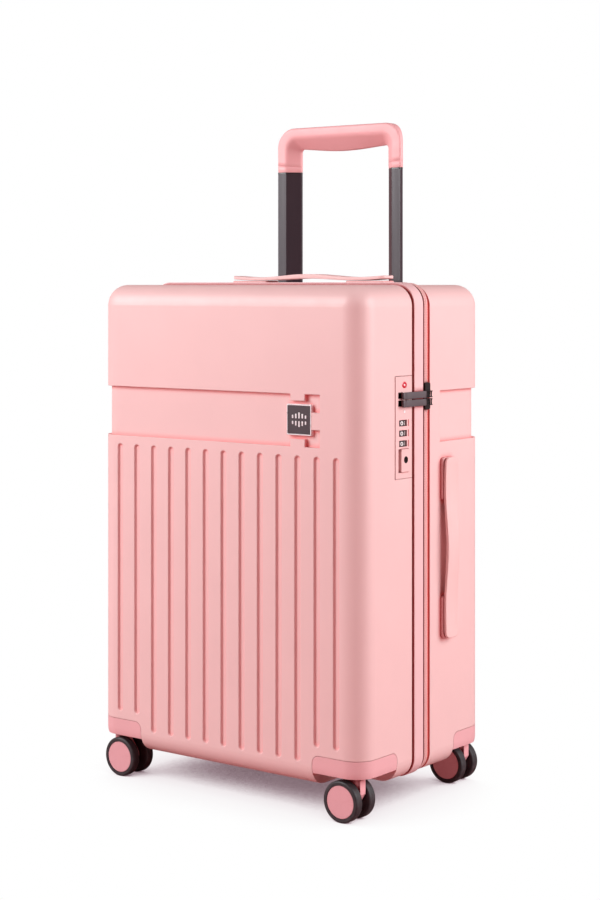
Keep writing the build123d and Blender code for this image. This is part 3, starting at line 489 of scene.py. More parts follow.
def beads(places, tangents, normals, length, radii, sides=6):
    """A row of small rounded stitches as one mesh: verts and faces."""
    verts, faces = [], []
    stations = ((-0.5, 0.35), (-0.3, 0.9), (0.3, 0.9), (0.5, 0.35))
    for place, tangent, normal in zip(places, tangents, normals):
        place, tangent, normal = (np.asarray(v, float) for v in (place, tangent, normal))
        across = np.cross(tangent, normal)
        base = len(verts)
        for t, share in stations:
            for k in range(sides):
                a = 2 * math.pi * k / sides
                offset = across * math.cos(a) * radii[0] + normal * math.sin(a) * radii[1]
                verts.append(place + tangent * t * length + offset * share)
        for r in range(3):
            for k in range(sides):
                m = (k + 1) % sides
                a, b = base + r * sides, base + (r + 1) * sides
                faces.append((a + k, a + m, b + m, b + k))
        faces.append(tuple(base + k for k in range(sides))[::-1])
        faces.append(tuple(base + 3 * sides + k for k in range(sides)))
    return verts, faces


# ---------------------------------------------------------------- the zip, right round the case
TOOTH = 2.4
fine_line = case_outline(TOOTH / 4, 64)
tape_line = case_outline(8.0, 12)


def bead_radius(i):
    return 0.50 + 0.13 * (0.5 + 0.5 * math.cos(2 * math.pi * i / 4))


front_tape = [(1.7, TRIM_REAR, 0), (1.7, -3.7, 0), (0.4, -3.45, 1), (0.08, -3.1, 1), (0.05, -0.6, 1), (0.4, -0.2, 1),
              (1.6, -0.2, 1), (2.7, -0.7, 0), (2.75, TRIM_REAR, 0)]
# the first two faces, the groove floor under the trim's edge, take the painted groove shade
loft("zip_tape_front", ring_rows(tape_line, front_tape), ["zip_fabric", "zip_groove"], "lid",
     ["front_zip_tape"], looped=True, kind_of=lambda c: 1 if c < 2 else 0)
back_tape = [(2.7, 1.3, 0), (1.6, 0.8, 1), (0.4, 0.8, 1), (0.05, 1.2, 1), (0.08, 3.7, 1), (0.4, 4.0, 1),
             (1.7, 4.2, 0), (1.75, BACK_EDGE - 0.05, 0), (2.75, BACK_EDGE - 0.1, 0)]
# faces 5 to 7, where the tape steps down to the back shell's edge, take the painted gap shade
loft("zip_tape_back", ring_rows(tape_line, back_tape), ["zip_fabric", "zip_gap"], "base",
     ["back_zip_tape"], looped=True, kind_of=lambda c: 1 if 5 <= c <= 7 else 0)


def coil_section(i, sign):
    """One side of the closed coil between the strips: a ribbed rolled edge that reaches the middle line."""
    r = bead_radius(i if sign < 0 else i + 2)
    middle = ZIP_LINE + sign * 0.55
    arc = [(0.62 - r * math.sin(a), middle - sign * r * math.cos(a), 1) for a in np.linspace(-0.9, 2.6, 7)]
    return [*arc, (0.7, ZIP_LINE + sign * 1.3, 1), (1.5, ZIP_LINE + sign * 1.3, 1)]


for name, sign, body in (("zip_coil_front", -1, "lid"), ("zip_coil_back", 1, "base")):
    rows = ring_rows(fine_line, lambda i, s=sign: coil_section(i, s))
    loft(name, rows, ["zip_coil"], body, looped=True, sharp=70)

stitch_line = case_outline(3.2, 12)
for name, y, body in (("zip_stitches_front", -2.6, "lid"), ("zip_stitches_back", 3.2, "base")):
    tangents = [(-nz, 0, nx) for _, _, nx, nz in stitch_line]
    normals = [(nx, 0, nz) for _, _, nx, nz in stitch_line]
    places = [(x - nx * 0.1, y, z - nz * 0.1 + strip_lift(z)) for x, z, nx, nz in stitch_line]
    verts, faces = beads(places, tangents, normals, 2.3, (0.32, 0.18))
    piece_from(name, verts, faces, ["thread"], body)

# ---------------------------------------------------------------- handle straps
STRAP_W = 29.0


def strap_rows(half, tip, dip_at, dip, peak, thick, mid_thick, width):
    """Rows of a moulded strap along its length: (along, across, up), with a sunk panel on its upper face."""
    rows = []
    ends = np.array([0.0, 0.25, 0.7, 1.5, 2.7, 4.2, 6.0])
    inner = np.linspace(-half + 8.2, half - 8.2, 60)
    stations = np.concatenate([-half + ends, inner, half - ends[::-1]])
    for s in stations:
        t = abs(s)
        if t < dip_at:
            low = peak + (dip - peak) * smooth(t / dip_at)
        else:
            low = dip + (tip - dip) * ((t - dip_at) / (half - dip_at)) ** 2
        height = mid_thick + (thick - mid_thick) * smooth(t / dip_at)
        close = min(1.0, (half - t) / 1.4)
        pull = 1 - math.sqrt(max(0.0, 1 - (1 - close) ** 2))
        into = max(0.0, 8.0 - (half - t))
        w = width / 2 - (8.0 - math.sqrt(64.0 - into**2))
        edge = min(1.2, 0.42 * height) * (1 - 0.75 * pull)
        sink = 0.35 * smooth((half - t - 9) / 3)
        waist = 1.0 * smooth((dip_at - t) / dip_at)
        w -= waist
        mid = low + height / 2
        thin = height / 2 * (1 - 0.5 * pull)
        top, under = mid + thin, mid - thin
        profile = [(-w, mid), (-w + edge * 0.3, top - edge * 0.3), (-w + edge, top), (-w + 3.4, top),
                   (-w + 4.2, top - sink), (0, top - sink), (w - 4.2, top - sink), (w - 3.4, top), (w - edge, top),
                   (w - edge * 0.3, top - edge * 0.3), (w, mid), (w - edge * 0.3, under + edge * 0.3),
                   (w - edge, under), (0, under), (-w + edge, under), (-w + edge * 0.3, under + edge * 0.3)]
        rows.append([(s, a, h) for a, h in profile])
    return np.array(rows)


rows = strap_rows(127.0, 8.2, 80.0, 6.0, 8.6, 4.3, 6.0, STRAP_W)
top_low, top_high = span("top_handle_strap")
top_y = (top_low[1] + top_high[1]) / 2
placed = np.stack([rows[..., 0], top_y + rows[..., 1], TOP + rows[..., 2]], -1)
loft("top_strap", placed, ["strap_rubber"], "base", ["top_handle_strap"], sharp=50)

rows = strap_rows(114.5, 6.7, 74.0, 5.7, 8.6, 3.6, 4.2, STRAP_W)
side_low, side_high = span("side_handle_strap")
side_y, side_z = ((side_low[k] + side_high[k]) / 2 for k in (1, 2))
placed = np.stack([SIDE + rows[..., 2], side_y + rows[..., 1], side_z + rows[..., 0]], -1)
loft("side_strap", placed, ["strap_rubber"], "base", ["side_handle_strap"], sharp=50)


def pads(name, plan_of, boxes, height, finish, body, node):
    """Low moulded feet with a rounded plan and a softened upper edge."""
    verts, faces = [], []
    for (a0, a1), (b0, b1) in boxes:
        rows = []
        for grow, level in ((0.0, 0.0), (0.0, 0.55), (-0.35, 0.85), (-1.0, 0.98), (-1.9, 1.0)):
            corners = [(a0 - grow, b0 - grow), (a1 + grow, b0 - grow), (a1 + grow, b1 + grow), (a0 - grow, b1 + grow)]
            ring = rounded(corners, 6.0 + grow, 5)
            rows.append([plan_of(a, b, level * height) for a, b in ring])
        v, f, _, _ = loft("", rows, [], None, build=False)
        faces += [tuple(len(verts) + i for i in face) for face in f]
        verts += list(v)
    piece_from(name, verts, faces, [finish], body, [node], sharp=50)


y0, y1 = top_y - STRAP_W / 2, top_y + STRAP_W / 2
pads("top_feet", lambda a, b, h: (a, b, TOP + h - 0.2), [((-127, -65), (y0, y1)), ((65, 127), (y0, y1))],
     5.8, "handle_plastic", "base", "top_handle_mounts")
y0, y1 = side_y - STRAP_W / 2, side_y + STRAP_W / 2
pads("side_feet", lambda a, b, h: (SIDE + h - 0.2, a, b), [((y0, y1), (202.5, 257)), ((y0, y1), (377, 431.5))],
     5.5, "handle_plastic", "base", "side_handle_mounts")

# ---------------------------------------------------------------- trolley grip
TUBE_X = 103.6
GRIP_TOP = span("trolley_grip")[1][2]
TUBE_TOP = span("upper_tubes")[1][2]
GRIP_DEEP = 29.2
GRIP_BEND, GRIP_LEAN = 27.0, 7.2
LEG = [(-0.6, 105.4), (14.5, 105.4), (29.8, 120.7), (29.8, 125.0), (12.4, 125.0), (-0.6, 112.0)]
BAR = [(0.0, 105.4), (14.2, 105.4), (29.2, 120.7), (29.2, 125.0), (12.0, 125.0), (0.0, 125.0)]
LEG_R = (2.6, 3.6, 2.4, 2.0, 3.0, 3.0)
BAR_R = (4.0, 4.2, 3.0, 3.4, 3.0, 4.0)
leg_ring = rounded(LEG, LEG_R, 5)
bar_ring = rounded(BAR, BAR_R, 5)


def grip_point(p, y, stage, t):
    """A point of the grip: p is its depth from the outer line; stage is the leg, the corner or the bar."""
    share = np.clip(p / GRIP_DEEP, 0.0, 1.02)
    centre_x = TUBE_X - GRIP_BEND - GRIP_LEAN * share
    centre_z = GRIP_TOP - GRIP_BEND - GRIP_LEAN * share
    radius = TUBE_X - p - centre_x
    if stage == "leg":
        return (TUBE_X - p, y, TUBE_TOP + t * (centre_z - TUBE_TOP))
    if stage == "corner":
        a = t * math.pi / 2
        return (centre_x + radius * math.cos(a), y, centre_z + radius * math.sin(a))
    x = centre_x * (1 - t)
    belly = 4.6 * smooth(share * 2.2 - 1.2) * math.cos(min(1.0, abs(x) / 72.0) * math.pi / 2) ** 1.3
    return (x, y, GRIP_TOP - p - belly)


half = []
collar = 9.0 / 33.0
leg_levels = [0.0, 0.02, 0.12, collar - 0.014, collar - 0.008, collar, collar + 0.008, collar + 0.014, 0.45, 0.7]
for t in [*leg_levels, 0.9]:
    pinch = 0.4 if abs(t - collar) < 0.004 else (0.25 if abs(t - collar) < 0.01 else 0.0)
    pinch += 0.5 if t == 0.0 else (0.1 if t == 0.02 else 0.0)
    centre = leg_ring.mean(0)
    ring = centre + (leg_ring - centre) * (1 - pinch / 9.0)
    half.append([grip_point(p, y, "leg", t) for p, y in ring])
for i in range(1, 16):
    t = (i - 1) / 14
    w = smooth(t)
    half.append([grip_point(*(leg_ring[k] * (1 - w) + bar_ring[k] * w), "corner", t) for k in range(len(leg_ring))])
for t in np.linspace(0, 1, 15)[1:]:
    half.append([grip_point(p, y, "bar", t) for p, y in bar_ring])
half = np.array(half)
mirrored = half[:-1][::-1] * np.array([-1, 1, 1])
grip = loft("grip", np.concatenate([half, mirrored]), ["grip_plastic"], None, sharp=60)

button_low, button_high = span("release_button")


def cut_pocket(target, low, high, round_by):
    """Cut a rounded pocket out of a mesh for good."""
    rows = []
    plan = [(low[0], low[1]), (high[0], low[1]), (high[0], high[1]), (low[0], high[1])]
    for z in (low[2], high[2]):
        rows.append([(x, y, z) for x, y in rounded(plan, round_by, 5)])
    cutter = loft("cutter", rows, [], None)
    cut = target.modifiers.new("pocket", "BOOLEAN")
    cut.operation, cut.object, cut.solver = "DIFFERENCE", cutter, "EXACT"
    view = bpy.context.evaluated_depsgraph_get()
    mesh = bpy.data.meshes.new_from_object(target.evaluated_get(view))
    target.modifiers.clear()
    target.data = mesh
    bpy.data.objects.remove(cutter)


cut_pocket(grip, button_low - (0.5, 0.5, 4.5), button_high + (0.5, 0.5, 6.0), 4.2)
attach(grip, "trolley_upper")
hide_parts("trolley_grip")

section = np.array([(TUBE_X, 106.0), (89.4, 106.0), (74.4, 121.0), (74.4, 124.4), (90.8, 124.4), (TUBE_X, 111.6)])
verts, faces = [], []
for side in (-1, 1):
    line = rounded(section * (side, 1), 0.6, 2)
    centre = line.mean(0)
    rows = []
    for z, grow in ((TUBE_TOP - 2.0, 0.0), (TUBE_TOP - 1.9, 0.35), (TUBE_TOP - 0.1, 0.35), (TUBE_TOP, 0.0)):
        away = line - centre
        ring = line + away / np.linalg.norm(away, axis=1)[:, None] * grow
        rows.append([(x, y, z) for x, y in ring])
    v, f, _, _ = loft("", rows, [], None, build=False)
    faces += [tuple(len(verts) + i for i in face) for face in f]
    verts += list(v)
piece_from("tube_rings", verts, faces, ["dial_plastic"], "trolley_upper")

# ---------------------------------------------------------------- lock: digits, marks and rings
DIAL_X, DIAL_Y, DIAL_R = 206.0, -51.0, 10.5


def digit_mesh(text, size):
    """A digit as a flat mesh centred on its own middle, in mm."""
    curve = bpy.data.curves.new("digit", "FONT")
    curve.body = text
    curve.size = size
    curve.offset = 0.22
    curve.align_x, curve.align_y = "CENTER", "CENTER"
    curve.extrude = 0.05
    shown = bpy.data.objects.new("digit", curve)
    bpy.context.scene.collection.objects.link(shown)
    view = bpy.context.evaluated_depsgraph_get()
    mesh = bpy.data.meshes.new_from_object(shown.evaluated_get(view))
    verts = np.array([v.co for v in mesh.vertices])
    faces = [tuple(p.vertices) for p in mesh.polygons]
    middle = (verts.min(0) + verts.max(0)) / 2
    bpy.data.objects.remove(shown)
    bpy.data.meshes.remove(mesh)
    return verts - middle, faces


digits = [digit_mesh(str(n), 6.6) for n in range(10)]
flat = DIAL_R * math.cos(math.pi / 10)
for number in (1, 2, 3):
    low, high = span(f"lock_dial_{number}")
    middle_z = (low[2] + high[2]) / 2
    verts, faces = [], []
    for n in range(10):
        angle = math.radians(-18 + 36 * n)
        outward = np.array((math.cos(angle), math.sin(angle), 0))
        side = np.array((-math.sin(angle), math.cos(angle), 0))
        shape, polys = digits[n]
        at = np.array((DIAL_X, DIAL_Y, middle_z)) + outward * flat
        base = len(verts)
        verts += [at + side * v[0] * 1.3 + np.array((0, 0, v[1])) + outward * v[2] for v in shape]
        faces += [tuple(base + i for i in f) for f in polys]
    piece_from(f"dial_digits_{number}", verts, faces, ["paint_white"], f"dial_{number}", sharp=30)


def plates(name, boxes, finish, body, axis=0, round_by=0.4):
    """Small flat raised marks with rounded plans. A box is its lowest and highest corner."""
    verts, faces = [], []
    others = [k for k in range(3) if k != axis]
    for low, high in boxes:
        plan = [(low[others[0]], low[others[1]]), (high[others[0]], low[others[1]]),
                (high[others[0]], high[others[1]]), (low[others[0]], high[others[1]])]
        rows = []
        for level in (low[axis], high[axis]):
            ring = []
            for a, b in rounded(plan, round_by, 3):
                point = [0.0, 0.0, 0.0]
                point[axis], point[others[0]], point[others[1]] = level, a, b
                ring.append(point)
            rows.append(ring)
        v, f, _, _ = loft("", rows, [], None, build=False)
        faces += [tuple(len(verts) + i for i in face) for face in f]
        verts += list(v)
    return piece_from(name, verts, faces, [finish], body, sharp=30)


RING_Y, RING_Z = -47.6, 526.7
marks = [((SIDE - 0.1, -39.5, z - 4.1), (SIDE + 0.15, -38.2, z + 4.1)) for z in (454.5, 467.15, 479.8)]
plates("window_marks", marks, "paint_rose", "lid")


def torus(name, centre, radius, thick, squash, finish, body, stretch=1.0, steps=28, sides=8):
    rows = []
    for i in range(steps):
        a = 2 * math.pi * i / steps
        ring = []
        for k in range(sides):
            b = 2 * math.pi * k / sides
            r = radius + thick * math.cos(b)
            ring.append(np.array(centre) + (thick * squash * math.sin(b), r * stretch * math.cos(a), r * math.sin(a)))
        rows.append(ring)
    return loft(name, rows, [finish], body, looped=True, sharp=80)


def disc(name, centre, radius, height, finish, body, stretch=1.0, steps=28):
    rows = []
    for r, h in ((radius, 0.0), (radius, 0.6 * height), (0.85 * radius, 0.95 * height), (0.4 * radius, height)):
        ring = []
        for i in range(steps):
            a = 2 * math.pi * i / steps
            ring.append((centre[0] + h, centre[1] + r * stretch * math.cos(a), centre[2] + r * math.sin(a)))
        rows.append(ring)
    return loft(name, rows, [finish], body, sharp=60)


torus("lock_ring", (SIDE + 0.02, RING_Y, RING_Z), 2.45, 1.5, 0.4, "paint_red", "lid", 1.3)
disc("lock_ring_middle", (SIDE - 0.2, RING_Y, RING_Z), 1.2, 0.5, "paint_white", "lid", 1.3)
key_low, key_high = span("key_cylinder")
key_at = (key_high[0], (key_low[1] + key_high[1]) / 2, (key_low[2] + key_high[2]) / 2)
torus("key_ring", key_at, 4.0, 0.42, 0.6, "key_metal", "lock_key")

# ---------------------------------------------------------------- badge: a plain row of bars
badge_low, badge_high = span("badge_plate")
face_y = badge_low[1]
mid_x, mid_z = ((badge_low[k] + badge_high[k]) / 2 for k in (0, 2))
bars = []
for i in range(-2, 3):
    x = mid_x + i * 5.0
    reach = 9.0 - 1.6 * abs(i)
    bars.append(((x - 1.1, face_y - 0.22, mid_z + 1.6), (x + 1.1, face_y + 0.05, mid_z + reach)))
    bars.append(((x - 1.1, face_y - 0.22, mid_z - reach), (x + 1.1, face_y + 0.05, mid_z - 1.6)))
plates("badge_bars", bars, "badge_metal", "lid", axis=1, round_by=0.9)

# ---------------------------------------------------------------- zip pulls: wire links beside the tabs


def wire(name, points, radius, finish, body, sides=8):
    """A bent wire of a closed path."""
    points = np.asarray(points, float)
    rows = []
    for i, at in enumerate(points):
        tangent = points[(i + 1) % len(points)] - points[i - 1]
        tangent /= np.linalg.norm(tangent)
        normal = np.array((1.0, 0.0, 0.0))
        normal -= tangent * normal.dot(tangent)
        normal /= np.linalg.norm(normal)
        across = np.cross(tangent, normal)
        angles = [2 * math.pi * k / sides for k in range(sides)]
        rows.append([at + radius * (normal * math.cos(a) + across * math.sin(a)) for a in angles])
    return loft(name, rows, [finish], body, looped=True, sharp=80)


PULL_LINE = ((0.0, 0.55, 0.62), (0.25, 0.80, 0.80), (1.0, 1.0, 0.95), (2.2, 1.0, 1.0), (6.6, 1.0, 1.0),
             (7.3, 0.78, 0.98), (8.2, 0.78, 0.98), (8.9, 0.88, 1.0), (20.0, 0.84, 1.0), (34.0, 0.84, 1.0),
             (46.0, 0.9, 1.0), (47.2, 1.0, 1.0), (49.6, 1.0, 1.0), (50.4, 0.9, 0.97), (50.8, 0.6, 0.9))
for name in ("upper", "lower"):
    low, high = span(f"zip_pull_{name}")
    x, z = (low[0] + high[0]) / 2, (low[2] + high[2]) / 2
    rows = []
    for run, thick, tall in PULL_LINE:
        t, h = 1.4 * thick, 4.3 * tall
        rows.append([(x + a, low[1] + run, z + b) for a, b in rounded([(-t, -h), (t, -h), (t, h), (-t, h)], 0.8, 4)])
    loft(f"pull_tab_{name}", rows, ["pull_plastic"], f"pull_{name}", [f"zip_pull_{name}"], sharp=50)
    near, far = low[1] + 48.6, high[1] - 1.7
    ring = rounded([(near, z - 3.55), (far, z - 3.55), (far, z + 3.55), (near, z + 3.55)], 2.4, 6)
    wire(f"pull_link_{name}", [(x, y, up) for y, up in ring], 0.68, "zip_metal", f"pull_{name}")

# ---------------------------------------------------------------- linings, cut and sewn sheets


# the gap to the shell, the insets of the wall and of the rays' start, and how far the rays look
LINING_GAP = 0.35
WALL_INSET, CORE_INSET = 8.6, 60.0
WALL_REACH, FLOOR_REACH = 90.0, 160.0


def inner_tree(node):
    mesh = nodes[node].data
    verts = [v.co / MM for v in mesh.vertices]
    return BVHTree.FromPolygons(verts, [tuple(p.vertices) for p in mesh.polygons])


def rect_ring(inset, spacing_counts, low_r, high_r):
    """Points round the case outline at a large inset, always the same number of them."""
    lo = max(low_r - inset, 1.5)
    hi = max(high_r - inset, 1.5)
    x0, z0, z1 = SIDE - inset, BOTTOM + inset, TOP - inset
    nx_count, nz_count, arc_count = spacing_counts
    points = []

    def straight(start, end, normal, n):
        for i in range(n):
            t = i / n
            points.append((*(start[k] * (1 - t) + end[k] * t for k in (0, 1)), *normal))

    def arc(cx, cz, r, first):
        for i in range(arc_count):
            a = math.radians(first + 90 * i / arc_count)
            points.append((cx + r * math.cos(a), cz + r * math.sin(a), math.cos(a), math.sin(a)))

    straight((-x0 + lo, z0), (x0 - lo, z0), (0, -1), nx_count)
    arc(x0 - lo, z0 + lo, lo, -90)
    straight((x0, z0 + lo), (x0, z1 - hi), (1, 0), nz_count)
    arc(x0 - hi, z1 - hi, hi, 0)
    straight((x0 - hi, z1), (-x0 + hi, z1), (0, 1), nx_count)
    arc(-x0 + hi, z1 - hi, hi, 90)
    straight((-x0, z1 - hi), (-x0, z0 + lo), (-1, 0), nz_count)
    arc(-x0 + lo, z0 + lo, lo, 180)
    return points


def lining(name, node, sign, body):
    """A lining stretched inside its half: from the rim down the walls and across the floor."""
    tree = inner_tree(node)
    low, high = span(node)
    rim = low[1] if sign > 0 else high[1]
    deep = high[1] if sign > 0 else low[1]
    counts = (40, 56, 7)
    rows = []
    levels = np.linspace(rim, deep - sign * 26, 10)
    wall = rect_ring(WALL_INSET, counts, R_BOTTOM, R_TOP)
    start = rect_ring(CORE_INSET, counts, R_BOTTOM, R_TOP)
    for y in levels:
        row = []
        for (x, z, nx, nz), (sx, sz, _, _) in zip(wall, start):
            away = Vector((x - sx, 0, z - sz))
            if away.length < 1e-6:
                away = Vector((nx, 0, nz))
            away.normalize()
            hit = tree.ray_cast(Vector((sx, y + (0.4 * sign if y == rim else 0), sz)), away, WALL_REACH)
            at = hit[0] if hit[0] is not None else Vector((x, y, z))
            row.append((at.x - away.x * LINING_GAP, y, at.z - away.z * LINING_GAP))
        rows.append(row)
    for inset in (18.0, 30.0, 44.0, 60.0, 80.0, 102.0, 126.0, 150.0, 174.0, 196.0, 206.0):
        row = []
        for x, z, nx, nz in rect_ring(inset, counts, R_BOTTOM, R_TOP):
            origin = Vector((x, rim + sign * 6.0, z))
            hit = tree.ray_cast(origin, Vector((0, sign, 0)), FLOOR_REACH)
            y = hit[0].y if hit[0] is not None else deep - sign
            soft = 1.2 * smooth((26.0 - inset) / 20.0) * sign
            row.append((x, y - sign * LINING_GAP - soft, z))
        rows.append(row)
    rows = np.array(rows)
    wrinkle = np.zeros(rows.shape[:2])
    for _ in range(9):
        k = rng.normal(size=3) * (0.035, 0.03, 0.03)
        wrinkle += np.sin(rows @ k + rng.uniform(0, 6.3)) * rng.uniform(0.05, 0.16)
    inward = np.zeros_like(rows)
    inward[10:, :, 1] = -sign
    for r in range(10):
        inward[r, :, 0] = [-p[2] for p in wall]
        inward[r, :, 2] = [-p[3] for p in wall]
    rows = rows + inward * (wrinkle - wrinkle.min())[..., None] * 0.9
    made = loft(name, rows, ["lining_fabric"], body, [node], caps=False, sharp=75)
    mesh = bmesh.new()
    mesh.from_mesh(made.data)
    size = rows.shape[1]
    last = [v.index for v in mesh.verts][-size:]
    mesh.verts.ensure_lookup_table()
    bmesh.ops.contextual_create(mesh, geom=[mesh.verts[i] for i in last])
    bmesh.ops.triangulate(mesh, faces=[f for f in mesh.faces if len(f.verts) > 4])
    mesh.normal_update()
    mesh.to_mesh(made.data)
    mesh.free()
    made.data.shade_smooth()
    thick = made.modifiers.new("thickness", "SOLIDIFY")
    thick.thickness, thick.offset = 0.6 * MM, 0.0
    view = bpy.context.evaluated_depsgraph_get()
    made.data = bpy.data.meshes.new_from_object(made.evaluated_get(view))
    made.modifiers.clear()
    return rows


back_rows = lining("lining_back", "back_lining", 1, "base")
front_rows = lining("lining_front", "front_lining", -1, "lid")

for name, rows, body in (("rim_piping_back", back_rows, "base"), ("rim_piping_front", front_rows, "lid")):
    edge = np.array(rows[0])
    tube = []
    for i, at in enumerate(edge):
        tangent = edge[(i + 1) % len(edge)] - edge[i - 1]
        tangent /= np.linalg.norm(tangent)
        across = np.cross(tangent, (0, 1, 0))
        angles = [2 * math.pi * k / 8 for k in range(8)]
        tube.append([at + 1.5 * (across * math.cos(a) + np.array((0, 1, 0)) * math.sin(a)) for a in angles])
    loft(name, tube, ["piping"], body, looped=True, sharp=80)

# ---------------------------------------------------------------- compression straps
strap_low, strap_high = span("compression_straps")
strap_mid = (strap_low[2] + strap_high[2]) / 2
floor_y = strap_high[1]


def webbing_rows(start, end, width, thick, lift):
    """A flat band from start to end on the floor, a little raised along its middle."""
    start, end = np.array(start, float), np.array(end, float)
    along = (end - start) / np.linalg.norm(end - start)
    across = np.cross(along, (0, 1, 0))
    rows = []
    for t in np.linspace(0, 1, 25):
        at = start * (1 - t) + end * t
        up = lift * math.sin(math.pi * t) ** 0.8
        ring = []
        for a, h in ((-1, 0.15), (-0.96, 0.0), (0, 0.0), (0.96, 0.0), (1, 0.15), (1, 0.85), (0.96, 1.0), (0, 1.08),
                     (-0.96, 1.0), (-1, 0.85)):
            ring.append(at + across * a * width / 2 - np.array((0, h * thick + up, 0)))
        rows.append(ring)
    return rows


verts, faces, uvs, kinds = [], [], [], []
reach = 262.0
for turn in (52, 128, 232, 308):
    a = math.radians(turn)
    heading = np.array((math.cos(a), 0, math.sin(a)))
    centre = np.array((0, floor_y, strap_mid))
    v, f, _, u = loft("", webbing_rows(centre + heading * 20, centre + heading * reach, 25.0, 1.3, 2.2), [], None,
                      build=False)
    faces += [tuple(len(verts) + i for i in face) for face in f]
    verts += list(v)
    uvs += u
    v, f, _, u = loft("", webbing_rows(centre + heading * (reach - 26) - (0, 1.3, 0),
                                      centre + heading * (reach - 1) - (0, 1.3, 0), 27.0, 1.1, 0.0), [], None,
                      build=False)
    faces += [tuple(len(verts) + i for i in face) for face in f]
    verts += list(v)
    uvs += u
piece_from("strap_webbing", verts, faces, ["webbing"], "base", ["compression_straps"], uvs=uvs)

places, tangents = [], []
for turn in (52, 128, 232, 308):
    a = math.radians(turn)
    heading = np.array((math.cos(a), 0, math.sin(a)))
    across = np.cross(heading, (0, 1, 0))
    corner = np.array((0, floor_y - 2.5, strap_mid)) + heading * (reach - 24)
    for k in range(7):
        for u, v, direction in ((k * 3.2, -9, heading), (k * 3.2, 9, heading)):
            places.append(corner + heading * (u + 1) + across * v)
            tangents.append(direction)
    for k in range(6):
        for u in (0, 21):
            places.append(corner + heading * u + across * (k * 3.2 - 8))
            tangents.append(across)
verts, faces = beads(places, tangents, [(0, -1, 0)] * len(places), 2.4, (0.4, 0.25))
piece_from("strap_stitches", verts, faces, ["thread"], "base")

# ---------------------------------------------------------------- the fabric hinge down the left side
hinge_low, hinge_high = span("fabric_hinge")
rows = []
for z in np.linspace(hinge_low[2], hinge_high[2], 60):
    ripple = 0.25 * math.sin(z * 0.21) + 0.2 * math.sin(z * 0.083 + 1)
    ring = []
    for y, d in ((-8.6, 5.4), (-5.2, 5.2), (-1.5, 5.0), (2.0, 4.9), (5.5, 5.0), (9.0, 5.2), (12.4, 5.4)):
        bulge = ripple * math.cos((y - 2) / 10.5 * math.pi / 2)
        ring.append((-SIDE + d + bulge, y, z))
    rows.append(ring)
hinge = loft("hinge_gusset", rows, ["hinge_fabric"], None, closed=False, sharp=80)
thick = hinge.modifiers.new("thickness", "SOLIDIFY")
thick.thickness, thick.offset = 0.7 * MM, 0.0
view = bpy.context.evaluated_depsgraph_get()
hinge.data = bpy.data.meshes.new_from_object(hinge.evaluated_get(view))
hinge.modifiers.clear()
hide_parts("fabric_hinge")
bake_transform(hinge)

# ---------------------------------------------------------------- floor, light and camera


def light(name, location, target, size, power, color=(1, 1, 1)):
    lamp = bpy.data.lights.new(name, "AREA")
    lamp.shape = "RECTANGLE"
    lamp.size, lamp.size_y = size
    lamp.energy = power
    lamp.color = color
    made = bpy.data.objects.new(name, lamp)
    made.location = location
    made.rotation_euler = (Vector(target) - Vector(location)).to_track_quat("-Z", "Y").to_euler()
    bpy.context.scene.collection.objects.link(made)


light("key_left", (-1.65, -2.15, 1.65), (0, 0, 0.36), (1.9, 1.9), 92, (0.94, 1, 1))
light("key_right", (2.4, 0.69, 1.3), (0, 0, 0.36), (2.4, 1.8), 76, (0.94, 1, 1))

world = bpy.data.worlds.new("studio")
bpy.context.scene.world = world
world.use_nodes = True
tree = world.node_tree
tree.nodes.clear()
out = tree.nodes.new("ShaderNodeOutputWorld")
path = tree.nodes.new("ShaderNodeLightPath")
coords = tree.nodes.new("ShaderNodeTexCoord")
parts = tree.nodes.new("ShaderNodeSeparateXYZ")
height = tree.nodes.new("ShaderNodeValToRGB")
toward = tree.nodes.new("ShaderNodeVectorMath")
dim = tree.nodes.new("ShaderNodeMapRange")
lit = tree.nodes.new("ShaderNodeBackground")
seen = tree.nodes.new("ShaderNodeBackground")
chosen = tree.nodes.new("ShaderNodeMixShader")
tree.links.new(coords.outputs["Generated"], parts.inputs["Vector"])
tree.links.new(parts.outputs["Z"], height.inputs["Fac"])
height.color_ramp.elements[0].color = (0.84, 0.44, 0.44, 1)
height.color_ramp.elements[1].color = (0.16, 0.05, 0.05, 1)
tree.links.new(height.outputs["Color"], lit.inputs["Color"])
toward.operation = "DOT_PRODUCT"
toward.inputs[1].default_value = (0.61, -0.79, 0.0)
dim.interpolation_type = "SMOOTHSTEP"
for key, number in (("From Min", 0.2), ("From Max", 0.95), ("To Min", 0.6), ("To Max", 0.5)):
    dim.inputs[key].default_value = number
tree.links.new(coords.outputs["Generated"], toward.inputs[0])
tree.links.new(toward.outputs["Value"], dim.inputs["Value"])
tree.links.new(dim.outputs["Result"], lit.inputs["Strength"])
seen.inputs["Color"].default_value = (1, 1, 1, 1)
tree.links.new(path.outputs["Is Camera Ray"], chosen.inputs["Fac"])
tree.links.new(lit.outputs["Background"], chosen.inputs[1])
tree.links.new(seen.outputs["Background"], chosen.inputs[2])
tree.links.new(chosen.outputs["Shader"], out.inputs["Surface"])

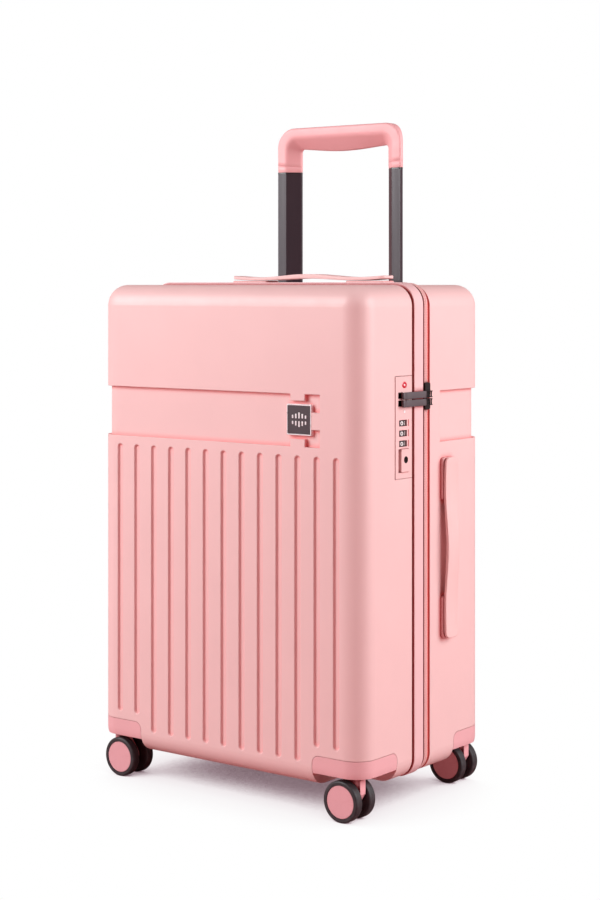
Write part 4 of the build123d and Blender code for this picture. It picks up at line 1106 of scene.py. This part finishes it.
floor_mesh = bpy.data.meshes.new("floor")
floor_mesh.from_pydata([(-6, -6, 0), (6, -6, 0), (6, 6, 0), (-6, 6, 0)], [], [(0, 1, 2, 3)])
floor = bpy.data.objects.new("floor", floor_mesh)
bpy.context.scene.collection.objects.link(floor)
paper = bpy.data.materials.new("floor_paper")
paper.use_nodes = True
tree = paper.node_tree
bsdf = tree.nodes["Principled BSDF"]
bsdf.inputs["Base Color"].default_value = (0.50, 0.20, 0.20, 1)
bsdf.inputs["Roughness"].default_value = 0.7
# painted shadow: camera rays see the floor glow, white far off and darkened by ambient occlusion into a painted
# contact shadow near the case; other rays see a plain darker pink floor
shade = tree.nodes.new("ShaderNodeAmbientOcclusion")
shade.samples = 16
shade.inputs["Distance"].default_value = 0.17
shadow_tones = tree.nodes.new("ShaderNodeValToRGB")
shadow_stops = ((0.05, (0.12, 0.065, 0.08)), (0.13, (0.46, 0.35, 0.39)), (0.21, (0.86, 0.80, 0.82)), (0.75, (1, 1, 1)))
for i, (at, tone) in enumerate(shadow_stops):
    stop = shadow_tones.color_ramp.elements[i] if i < 2 else shadow_tones.color_ramp.elements.new(at)
    stop.position = at
    stop.color = (*tone, 1)
glow = tree.nodes.new("ShaderNodeEmission")
chosen = tree.nodes.new("ShaderNodeMixShader")
path = tree.nodes.new("ShaderNodeLightPath")
tree.links.new(shade.outputs["AO"], shadow_tones.inputs["Fac"])
tree.links.new(shadow_tones.outputs["Color"], glow.inputs["Color"])
tree.links.new(path.outputs["Is Camera Ray"], chosen.inputs["Fac"])
tree.links.new(bsdf.outputs["BSDF"], chosen.inputs[1])
tree.links.new(glow.outputs["Emission"], chosen.inputs[2])
tree.links.new(chosen.outputs["Shader"], tree.nodes["Material Output"].inputs["Surface"])
floor_mesh.materials.append(paper)
floor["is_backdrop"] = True

camera = bpy.data.cameras.new("camera")
camera.sensor_width = 36.0
camera.lens = 75.35
camera.shift_y = -0.1834
camera.clip_start, camera.clip_end = 0.05, 60.0
eye = bpy.data.objects.new("camera", camera)
eye.location = (1.526, -1.969, 0.650)
eye.rotation_euler = (math.radians(90), 0, math.radians(37.48))
bpy.context.scene.collection.objects.link(eye)
bpy.context.scene.camera = eye
bpy.context.scene.view_settings.view_transform = "Standard"

low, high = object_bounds()
